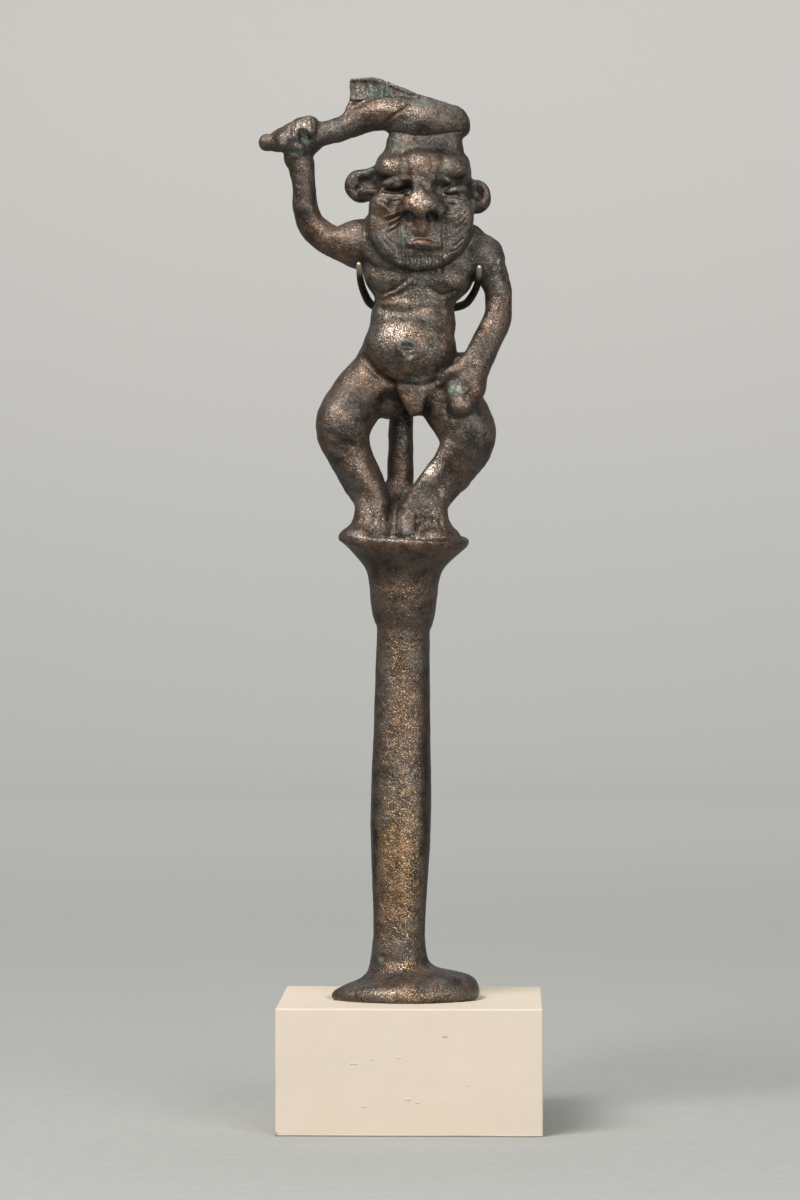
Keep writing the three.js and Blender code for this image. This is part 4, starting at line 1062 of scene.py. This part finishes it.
def swept(path, radii, sides, offset):
    """A round wire along a path: rings of the given radii square to it, all begun from one fixed direction,
    closed by a vertex at each end. Returns its points, and its triangles counted from offset."""
    fixed = [0.31, 0.17, 0.93]
    ahead = np.gradient(path, axis=0)
    ahead /= np.linalg.norm(ahead, axis=1, keepdims=True)
    across = np.cross(ahead, fixed)
    across /= np.linalg.norm(across, axis=1, keepdims=True)
    up = np.cross(ahead, across)
    turn = np.arange(sides) * 2 * math.pi / sides
    ring = np.cos(turn)[None, :, None] * across[:, None] + np.sin(turn)[None, :, None] * up[:, None]
    points = (path[:, None] + radii[:, None, None] * ring).reshape(-1, 3)
    quads = grid_faces(len(path), sides, True)
    sheath = np.concatenate([quads[:, [0, 1, 2]], quads[:, [0, 2, 3]]])
    first, last = len(points), len(points) + 1
    step = np.arange(sides)
    start = np.stack([np.full(sides, first), (step + 1) % sides, step], 1)
    top = (len(path) - 1) * sides
    end = np.stack([np.full(sides, last), top + step, top + (step + 1) % sides], 1)
    return np.concatenate([points, path[:1], path[-1:]]), np.concatenate([sheath, start, end]) + offset


# The claws in shares, from behind the back, round the side of the chest, to the tip under the arm
CLAW_LEVEL = 50.6
RIGHT_CLAW = [[-3, 11, CLAW_LEVEL], [-5.8, 8.4, 50.7], [-7.6, 5, 51.4], [-8.6, 1.6, 53], [-9.3, -1.6, 55],
              [-9.6, -4.6, 57], [-9.7, -6.3, 59.1]]
LEFT_CLAW = [[5, 11, CLAW_LEVEL], [9.6, 8.4, 50.6], [12.8, 5, 51.1], [14.4, 1.8, 52.4], [15.6, -1.2, 54.4],
             [16.2, -4.2, 56.4], [16.3, -6, 58.4]]
ROD_SIDES = 20
CLAW_SIDES = 14
ROUND_ROWS = 6  # rings of a rounded end
BRAZE_REACH = 0.9
BRAZE_THICKNESS = 0.32


def make_mount(material):
    """The rod with its round top, and its two claws: wires that taper by the cube of the way from the rod
    to a rounded tip, and a bead of braze where they meet it, a bell over the height."""
    points, triangles, tips = [], [], []

    def add(path, radii, sides, tip):
        made, faces = swept(path, radii, sides, sum(len(p) for p in points))
        points.append(made)
        triangles.append(faces)
        tips.append(np.append(np.repeat(tip, sides), [tip[0], tip[-1]]))

    claw_z = FIGURE_FOOT[2] + CLAW_LEVEL * UNIT
    foot_z = mount_low[2]
    height = mount_high[2] - foot_z
    rounding = 1 - np.sin(np.linspace(0.2, 1, ROUND_ROWS) * math.pi / 2)
    rise = np.concatenate([[0, 0.1, 0.35], np.linspace(0.6, height - ROD_RADIUS, 60),
                           height - ROD_RADIUS * rounding])
    below_top = height - rise
    radii = ROD_RADIUS * np.sqrt(1 - np.clip(1 - below_top / ROD_RADIUS, 0, 0.999) ** 2)
    radii[:3] = ROD_RADIUS * np.array([0.8, 0.95, 1])
    bead = np.exp(-(((foot_z + rise - claw_z) / BRAZE_REACH) ** 2)) * BRAZE_THICKNESS
    path = np.stack([np.full(len(rise), ROD_X), np.full(len(rise), ROD_Y), foot_z + rise], 1)
    add(path, radii + bead, ROD_SIDES, np.zeros(len(rise)))

    turn = np.linspace(0, math.pi / 2, ROUND_ROWS)[:-1][::-1]
    for stations in (RIGHT_CLAW, LEFT_CLAW):
        bend = np.array(stations) * UNIT + FIGURE_FOOT
        line = spline([[ROD_X, ROD_Y, claw_z], *bend], 10)
        t = np.linspace(0, 1, len(line))
        radius = CLAW_ROOT_RADIUS + (CLAW_TIP_RADIUS - CLAW_ROOT_RADIUS) * t**3
        ahead = line[-1] - line[-2]
        ahead /= np.linalg.norm(ahead)
        cap = line[-1] + ahead * CLAW_TIP_RADIUS * np.cos(turn)[:, None]
        cap_radius = CLAW_TIP_RADIUS * np.maximum(np.sin(turn), 0.05)
        rubbed = np.append(np.clip(t * 4.2 - 3.2, 0, 1), np.ones(len(cap)))
        add(np.vstack([line, cap]), np.append(radius, cap_radius), CLAW_SIDES, rubbed)
    piece("rod_with_claws", np.concatenate(points), np.concatenate(triangles), material, "mount_metal",
          "rod_and_claws", bright=np.concatenate(tips))


def make_block(material):
    """The painted block: a box's skin from six grids of (u, v), pulled on to a rounded box by clamping each
    point to the inner box and stepping out by the edge radius, with the bed pressed into its top by a
    smooth step over its elliptical reach."""
    edge = 0.38
    paint_sink = 0.08  # how far the uneven paint lies inside the box of the solid block
    crowding = 1.25  # rows lie closer together towards the edges
    count = 96
    half = (block_high - block_low) / 2
    middle = (block_high + block_low) / 2
    s = np.linspace(-1, 1, count)
    s = np.sign(s) * (1 - (1 - np.abs(s)) ** crowding)
    u, v = np.meshgrid(s, s, indexing="ij")
    points, faces = [], []
    for axis in range(3):
        for side in (-1, 1):
            face = np.zeros((count, count, 3))
            face[..., axis] = side
            face[..., (axis + 1) % 3] = u
            face[..., (axis + 2) % 3] = v * side
            faces.append(grid_faces(count, count, False) + len(points) * count * count)
            points.append(face.reshape(-1, 3))
    cube = np.concatenate(points) * half
    inner = np.clip(cube, edge - half, half - edge)
    out = cube - inner
    out /= np.maximum(np.linalg.norm(out, axis=1, keepdims=True), 1e-9)
    box = middle + inner + out * edge
    swell = 0.05 * value_noise(box, 9, 11) + 0.022 * value_noise(box, 2.3, 12)
    box = box - out * (paint_sink + swell)[:, None] * (box[:, 2:] > block_low[2] + 0.3)
    top = out[:, 2] > 0.99
    reach = np.hypot((box[:, 0] - COLUMN_X) / (FOOT_RADIUS + BED_CLEARANCE),
                     box[:, 1] / (FOOT_DEPTH_RADIUS + BED_CLEARANCE))
    bed_rim, bed_slope = 1.03, 0.05
    bed = np.clip((bed_rim - reach) / bed_slope, 0, 1)
    box[:, 2] -= top * bed * bed * (3 - 2 * bed) * BED_DEPTH
    made = piece("painted_block", box, np.concatenate(faces), material, "painted_block", "mount_block")
    weld(made)


def weld(made):
    """Joins the vertices that two grids share along their edges."""
    mesh = bmesh.new()
    mesh.from_mesh(made.data)
    bmesh.ops.remove_doubles(mesh, verts=mesh.verts, dist=1e-6)
    bmesh.ops.recalc_face_normals(mesh, faces=mesh.faces)
    mesh.to_mesh(made.data)
    mesh.free()


# Materials

class Nodes:
    """Writes a material as a short chain of calls."""

    def __init__(self, name):
        self.material = bpy.data.materials.new(name)
        self.material.use_nodes = True
        self.tree = self.material.node_tree
        self.shader = self.tree.nodes["Principled BSDF"]
        self.place = self.add("ShaderNodeTexCoord").outputs["Object"]

    def add(self, kind, inputs=None, **settings):
        """A new node with its settings and inputs."""
        made = self.tree.nodes.new(kind)
        for key, value in settings.items():
            setattr(made, key, value)
        for key, value in (inputs or {}).items():
            self.put(made.inputs[key], value)
        return made

    def put(self, socket, value):
        """Links another node's output to a socket, or sets a plain value on it."""
        if isinstance(value, bpy.types.NodeSocket):
            self.tree.links.new(value, socket)
        else:
            socket.default_value = value

    def set(self, **inputs):
        """Fills the shader's own inputs; an underscore stands for a space."""
        for key, value in inputs.items():
            self.put(self.shader.inputs[key.replace("_", " ")], value)

    def noise(self, size, detail=2.0, roughness=0.5, place=None, distortion=0.0):
        """Noise whose bumps are about the given size in millimetres."""
        return self.add("ShaderNodeTexNoise", {"Vector": place or self.place, "Scale": 1 / (size * MM),
                                               "Detail": detail, "Roughness": roughness,
                                               "Distortion": distortion}).outputs["Fac"]

    def stretched(self, scale):
        """The place, stretched along the axes."""
        return self.add("ShaderNodeMapping", {"Vector": self.place, "Scale": scale}).outputs["Vector"]

    def moved(self, way):
        """The place, moved by millimetres, so that a second noise of one size differs from the first."""
        return self.add("ShaderNodeMapping", {"Vector": self.place,
                                              "Location": [w * MM for w in way]}).outputs["Vector"]

    def spot(self, at, half):
        """1 in the middle of a small ellipsoid given in millimetres, and 0 outside it."""
        middle, half = [a * MM for a in at], [h * MM for h in half]
        away = self.add("ShaderNodeVectorMath", {0: self.place, 1: middle}, operation="SUBTRACT")
        share = self.add("ShaderNodeVectorMath", {0: away.outputs[0], 1: half}, operation="DIVIDE")
        reach = self.add("ShaderNodeVectorMath", {0: share.outputs[0]}, operation="LENGTH")
        return self.step(reach.outputs["Value"], 0.4, 1.0, 1.0, 0.0)

    def attribute(self, name):
        """The number that each vertex of the piece carries under a name."""
        return self.add("ShaderNodeAttribute", attribute_name=name).outputs["Fac"]

    def maths(self, operation, a, b=0.0, clamp=False):
        """One operation on two values."""
        made = self.add("ShaderNodeMath", operation=operation, use_clamp=clamp)
        self.put(made.inputs[0], a)
        self.put(made.inputs[1], b)
        return made.outputs[0]

    def plus(self, total, *more):
        """The total and a share of each further value, given as (value, share)."""
        for value, share in more:
            total = self.maths("ADD", total, self.maths("MULTIPLY", value, share))
        return total

    def step(self, value, low, high, out_low=0.0, out_high=1.0):
        """Runs smoothly from out_low to out_high while the value runs from low to high."""
        return self.add("ShaderNodeMapRange", {"Value": value, "From Min": low, "From Max": high,
                                               "To Min": out_low, "To Max": out_high},
                        interpolation_type="SMOOTHSTEP").outputs["Result"]

    def mix(self, share, a, b):
        """A colour that runs from a to b while the share runs from 0 to 1."""
        made = self.add("ShaderNodeMix", data_type="RGBA")
        self.put(made.inputs[0], share)
        self.put(made.inputs[6], a)
        self.put(made.inputs[7], b)
        return made.outputs[2]

    def bump(self, height, strength, depth, normal=None):
        """A bump whose full height is the given depth in millimetres."""
        made = self.add("ShaderNodeBump", {"Height": height, "Strength": strength, "Distance": depth * MM})
        if normal:
            self.put(made.inputs["Normal"], normal)
        return made.outputs["Normal"]


def bronze_finish():
    """Old bronze: a brown and grey skin with a crinkled grain, rubbed to copper or gold bare metal and
    crusted with green or pale earth where the patches say so. Painted shade darkens it in the hollows and
    over the dark patches, and painted highlight turns it to pale bare metal over the bright patches."""
    n = Nodes("old bronze")
    hollow, worn = n.attribute("hollow"), n.attribute("worn")
    copper, gold, green, pale = (n.attribute(name) for name in ("copper", "gold", "green", "pale"))
    # The dark patches are painted shade and the bright patches painted highlight.
    shade, bright = n.attribute("dark"), n.attribute("bright")
    broad = n.noise(9.0, 2)
    cloud = n.noise(2.6, 4, 0.65)
    tint = n.noise(1.3, 3, 0.65, n.moved((31, 7, 13)))
    crinkle = n.noise(0.85, 4, 0.72, n.moved((3, 41, 9)), 0.6)
    grain = n.noise(0.34, 3, 0.7)
    fleck = n.noise(0.25, 2, 0.6, n.moved((5, 17, 3)))

    umber, slate, black = (0.112, 0.073, 0.050, 1), (0.108, 0.098, 0.083, 1), (0.022, 0.017, 0.014, 1)
    russet, earth = (0.225, 0.118, 0.062, 1), (0.42, 0.43, 0.36, 1)
    brown_metal, grey_metal = (0.48, 0.33, 0.23, 1), (0.54, 0.44, 0.34, 1)
    painted_highlight_metal, gold_metal = (0.66, 0.58, 0.50, 1), (0.72, 0.43, 0.17, 1)
    deep_green, light_green = (0.040, 0.066, 0.054, 1), (0.17, 0.27, 0.21, 1)

    skin = n.mix(n.step(n.plus(broad, (tint, 0.6)), 0.66, 0.92), umber, slate)
    rust = n.plus(tint, (n.maths("MAXIMUM", copper, gold), 0.22))
    skin = n.mix(n.maths("MULTIPLY", n.step(rust, 0.56, 0.80), 0.8), skin, russet)
    stain = n.step(n.noise(4.2, 3, 0.6, n.moved((11, 3, 29))), 0.55, 0.38, 0.0, 0.3)
    dark = n.step(cloud, 0.58, 0.34, 0.0, 0.55)
    # Painted shade: the hollows and the dark patches darken the skin towards black, on top of the bronze's
    # own cloudy tone and stains; worn edges stay lighter.
    dark = n.plus(dark, (hollow, 0.75), (worn, -0.2), (stain, 1.0), (shade, 0.6))
    skin = n.mix(n.maths("MULTIPLY", dark, 0.9, clamp=True), skin, black)
    pits = n.step(crinkle, 0.42, 0.30)
    skin = n.mix(n.maths("MULTIPLY", pits, 0.75), skin, black)

    # Bare metal shows on worn edges, in the cloud and over the copper and gold patches; the bright patches
    # add more as painted highlight, and the hollows and the painted shade take it away.
    rubbed = n.plus(n.maths("MULTIPLY", worn, 0.04), (n.step(cloud, 0.35, 0.7), 0.04), (copper, 0.07),
                    (gold, 0.15), (bright, 0.11), (n.maths("MAXIMUM", hollow, shade), -0.14))
    bare = n.step(n.maths("ADD", fleck, rubbed), 0.60, 0.69)
    metal = n.mix(n.step(tint, 0.4, 0.6), brown_metal, grey_metal)
    # Painted highlight: over the bright patches the bare metal turns pale.
    metal = n.mix(n.maths("MULTIPLY", bright, 0.8), metal, painted_highlight_metal)
    metal = n.mix(gold, metal, gold_metal)
    colour = n.mix(n.maths("MULTIPLY", bare, n.step(gold, 0.0, 0.6, 0.5, 0.78)), skin, metal)

    crusted = n.plus(green, (n.step(hollow, 0.45, 0.9), 0.3))
    crust = n.step(n.plus(crinkle, (crusted, 0.34)), 0.60, 0.86)
    verdigris = n.mix(n.step(fleck, 0.42, 0.66), deep_green, light_green)
    colour = n.mix(n.maths("MULTIPLY", crust, 0.62), colour, verdigris)
    # Pale earth over the pale patches, which in places is a painted highlight.
    dust_and_sheen = n.step(n.plus(crinkle, (pale, 0.4)), 0.72, 0.94)
    colour = n.mix(n.maths("MULTIPLY", dust_and_sheen, 0.6), colour, earth)

    dull = n.maths("MAXIMUM", crust, dust_and_sheen)
    metallic = n.plus(n.step(bare, 0, 1, 0.55, 0.9), (dull, -0.45))
    roughness = n.plus(n.step(cloud, 0.35, 0.7, 0.29, 0.40), (dull, 0.25))
    n.set(Base_Color=colour, Metallic=metallic, Roughness=roughness)
    normal = n.bump(cloud, 0.6, 0.22)
    normal = n.bump(crinkle, 0.9, 0.24, normal)
    n.set(Normal=n.bump(grain, 0.6, 0.05, normal))
    return n.material


def mount_finish():
    """Dark waxed brass, rubbed bright at the claws' tips."""
    n = Nodes("waxed brass")
    bright = n.attribute("bright")
    cloud = n.noise(1.4, 3, 0.6)
    wax, brown, brass = (0.03, 0.02, 0.015, 1), (0.085, 0.058, 0.042, 1), (0.55, 0.46, 0.34, 1)
    dark = n.mix(cloud, wax, brown)
    rubbed = n.step(n.plus(bright, (cloud, 0.4)), 0.5, 1.1)
    n.set(Base_Color=n.mix(rubbed, dark, brass), Metallic=0.85,
          Roughness=n.step(cloud, 0.3, 0.7, 0.34, 0.5))
    n.set(Normal=n.bump(n.noise(0.4, 2), 0.25, 0.05))
    return n.material


def paint_finish():
    """Cream matt paint over wood: the faint streaks of a brush, a few nibs and blisters, and the wood
    showing where the lower corner and the front's left edge are rubbed."""
    n = Nodes("cream paint")
    streaks = n.noise(0.5, 3, 0.6, n.stretched((0.5, 0.5, 1.3)))
    cloud = n.noise(6, 2)
    nibs = n.step(n.noise(0.7, 1), 0.7, 0.8)
    left, front, bottom = block_low
    cream, deep_cream, streak = (0.592, 0.516, 0.424, 1), (0.566, 0.488, 0.394, 1), (0.54, 0.455, 0.35, 1)
    wood, stain = (0.27, 0.16, 0.08, 1), (0.45, 0.34, 0.22, 1)

    colour = n.mix(cloud, cream, deep_cream)
    colour = n.mix(n.maths("MULTIPLY", n.step(streaks, 0.3, 0.7), 0.3), colour, streak)
    chips = n.maths("MAXIMUM", n.spot((left, front, bottom + 0.4), (0.9, 0.9, 0.6)),
                    n.spot((left, front, bottom + 14.5), (0.25, 0.25, 2.4)))
    chips = n.maths("MAXIMUM", chips, n.spot((5.9, front, 16.3), (0.75, 0.5, 0.22)))
    chips = n.maths("MULTIPLY", chips, n.step(n.noise(0.4, 2), 0.3, 0.6))
    colour = n.mix(n.maths("MULTIPLY", chips, 0.7), colour, wood)

    blisters = n.spot((-0.1, front, 6.1), (0.55, 0.6, 0.35))
    small = [(-9.0, 11.9, 0.8, 0.2), (-7.4, 4.9, 0.5, 0.25), (-1.6, 12.9, 0.6, 0.15),
             (-6.2, 12.6, 0.3, 0.2), (1.4, 5.6, 0.5, 0.2), (9.8, 8.4, 0.4, 0.15)]
    for at_x, at_z, half_x, half_z in small:
        blisters = n.maths("MAXIMUM", blisters, n.spot((at_x, front, at_z), (half_x, 0.6, half_z)))
    colour = n.mix(n.maths("MULTIPLY", blisters, 0.1), colour, stain)
    n.set(Base_Color=colour, Roughness=0.72)
    normal = n.bump(streaks, 0.35, 0.05)
    normal = n.bump(blisters, 0.7, 0.1, normal)
    n.set(Normal=n.bump(nibs, 0.4, 0.06, normal))
    return n.material


def paper_finish():
    """Pale grey studio paper with painted light: its colour runs from darker on the near floor to lighter
    on the far floor, and lighter still where it curves up behind the figure, with a soft fibrous mottle on
    the floor."""
    n = Nodes("studio paper")
    along = n.add("ShaderNodeSeparateXYZ", {"Vector": n.place}).outputs
    # Painted light: the paper is painted lighter from the near floor to the far floor and up the wall.
    up = n.step(along["Z"], 0.0, 0.4)
    near, far, wall = (0.334, 0.340, 0.321, 1), (0.497, 0.498, 0.476, 1), (0.612, 0.595, 0.567, 1)
    floor = n.mix(n.step(along["Y"], 0.25, 1.05), near, far)
    fibres = n.step(n.noise(3.0, 4, 0.65), 0.35, 0.65, 0.0, 0.3)
    mottle = n.maths("MULTIPLY", fibres, n.step(along["Y"], 0.3, 0.0))
    floor = n.mix(mottle, floor, (0.28, 0.285, 0.28, 1))
    n.set(Base_Color=n.mix(up, floor, wall), Roughness=0.9)
    return n.material


# The studio

def make_studio(material):
    """A pale seamless floor that curves up into a wall behind the figure: a line, a quarter of a circle and
    a line, carried across."""
    half_width, near, far, bend = 1500.0, -1400.0, 1050.0, 500.0
    turn = np.linspace(0, math.pi / 2, 24)[1:]
    wall = np.linspace(150, 1500, 6)
    run = np.concatenate([np.linspace(near, far, 12), far + bend * np.sin(turn), np.full(6, far + bend)])
    rise = np.concatenate([np.zeros(12), bend * (1 - np.cos(turn)), bend + wall])
    across = np.array([-half_width, half_width])
    points = np.stack([np.repeat(across[None], len(run), 0), np.repeat(run[:, None], 2, 1),
                       np.repeat(rise[:, None], 2, 1)], -1).reshape(-1, 3)
    mesh = bpy.data.meshes.new("studio_paper")
    mesh.from_pydata((points * MM).tolist(), [], grid_faces(len(run), 2, False).tolist())
    mesh.shade_smooth()
    mesh.materials.append(material)
    paper = bpy.data.objects.new("studio_paper", mesh)
    paper.visible_glossy = False
    bpy.context.scene.collection.objects.link(paper)


def lamp(name, at, aim, size, watts, colour):
    """A square soft lamp that looks at a place; its places and its size are in metres."""
    light = bpy.data.lights.new(name, "AREA")
    light.energy = watts
    light.size = size
    light.color = colour
    made = bpy.data.objects.new(name, light)
    bpy.context.scene.collection.objects.link(made)
    made.location = at
    direction = np.array(aim) - np.array(at)
    flat = math.hypot(direction[0], direction[1])
    made.rotation_euler = (math.atan2(flat, -direction[2]), 0, math.atan2(-direction[0], direction[1]))


CAMERA_DISTANCE = 700.0
CAMERA_TURN = math.radians(1.44)
CAMERA_HEIGHT = 91.5
AIM_X = -1.92  # where the middle of the view meets the figure's plane
LENS = 125
VIEW_SHIFT = -23 / 1200  # how far the frame is shifted down, as a share of its height


def make_camera():
    """A level camera at the photograph's angle, a little to the figure's left."""
    data = bpy.data.cameras.new("camera")
    data.lens = LENS
    data.sensor_width = 36
    data.shift_y = VIEW_SHIFT
    camera = bpy.data.objects.new("camera", data)
    bpy.context.scene.collection.objects.link(camera)
    camera.location = (np.array([AIM_X + CAMERA_DISTANCE * math.sin(CAMERA_TURN),
                                 -CAMERA_DISTANCE * math.cos(CAMERA_TURN), CAMERA_HEIGHT]) * MM).tolist()
    camera.rotation_euler = (math.pi / 2, 0, CAMERA_TURN)
    bpy.context.scene.camera = camera


def make_world():
    """Soft even light from all round."""
    world = bpy.data.worlds.new("studio air")
    world.use_nodes = True
    background = world.node_tree.nodes["Background"]
    background.inputs["Color"].default_value = (0.88, 0.89, 0.9, 1)
    background.inputs["Strength"].default_value = 0.23
    bpy.context.scene.world = world


make_camera()
make_world()
make_studio(paper_finish())
lamp("key_lamp", (-0.42, -0.54, 0.86), (0, 0, 0.12), 0.52, 13.5, (1, 0.985, 0.965))
lamp("fill_lamp", (0.50, -0.85, 0.45), (0, 0, 0.1), 0.6, 7.0, (1, 0.99, 0.98))
lamp("wall_lamp", (0.0, 0.5, 1.4), (0, 1.4, 0.5), 0.9, 11.0, (1, 1, 1))
bpy.context.scene.view_settings.view_transform = "Standard"

make_bronze(bronze_finish())
make_mount(mount_finish())
make_block(paint_finish())
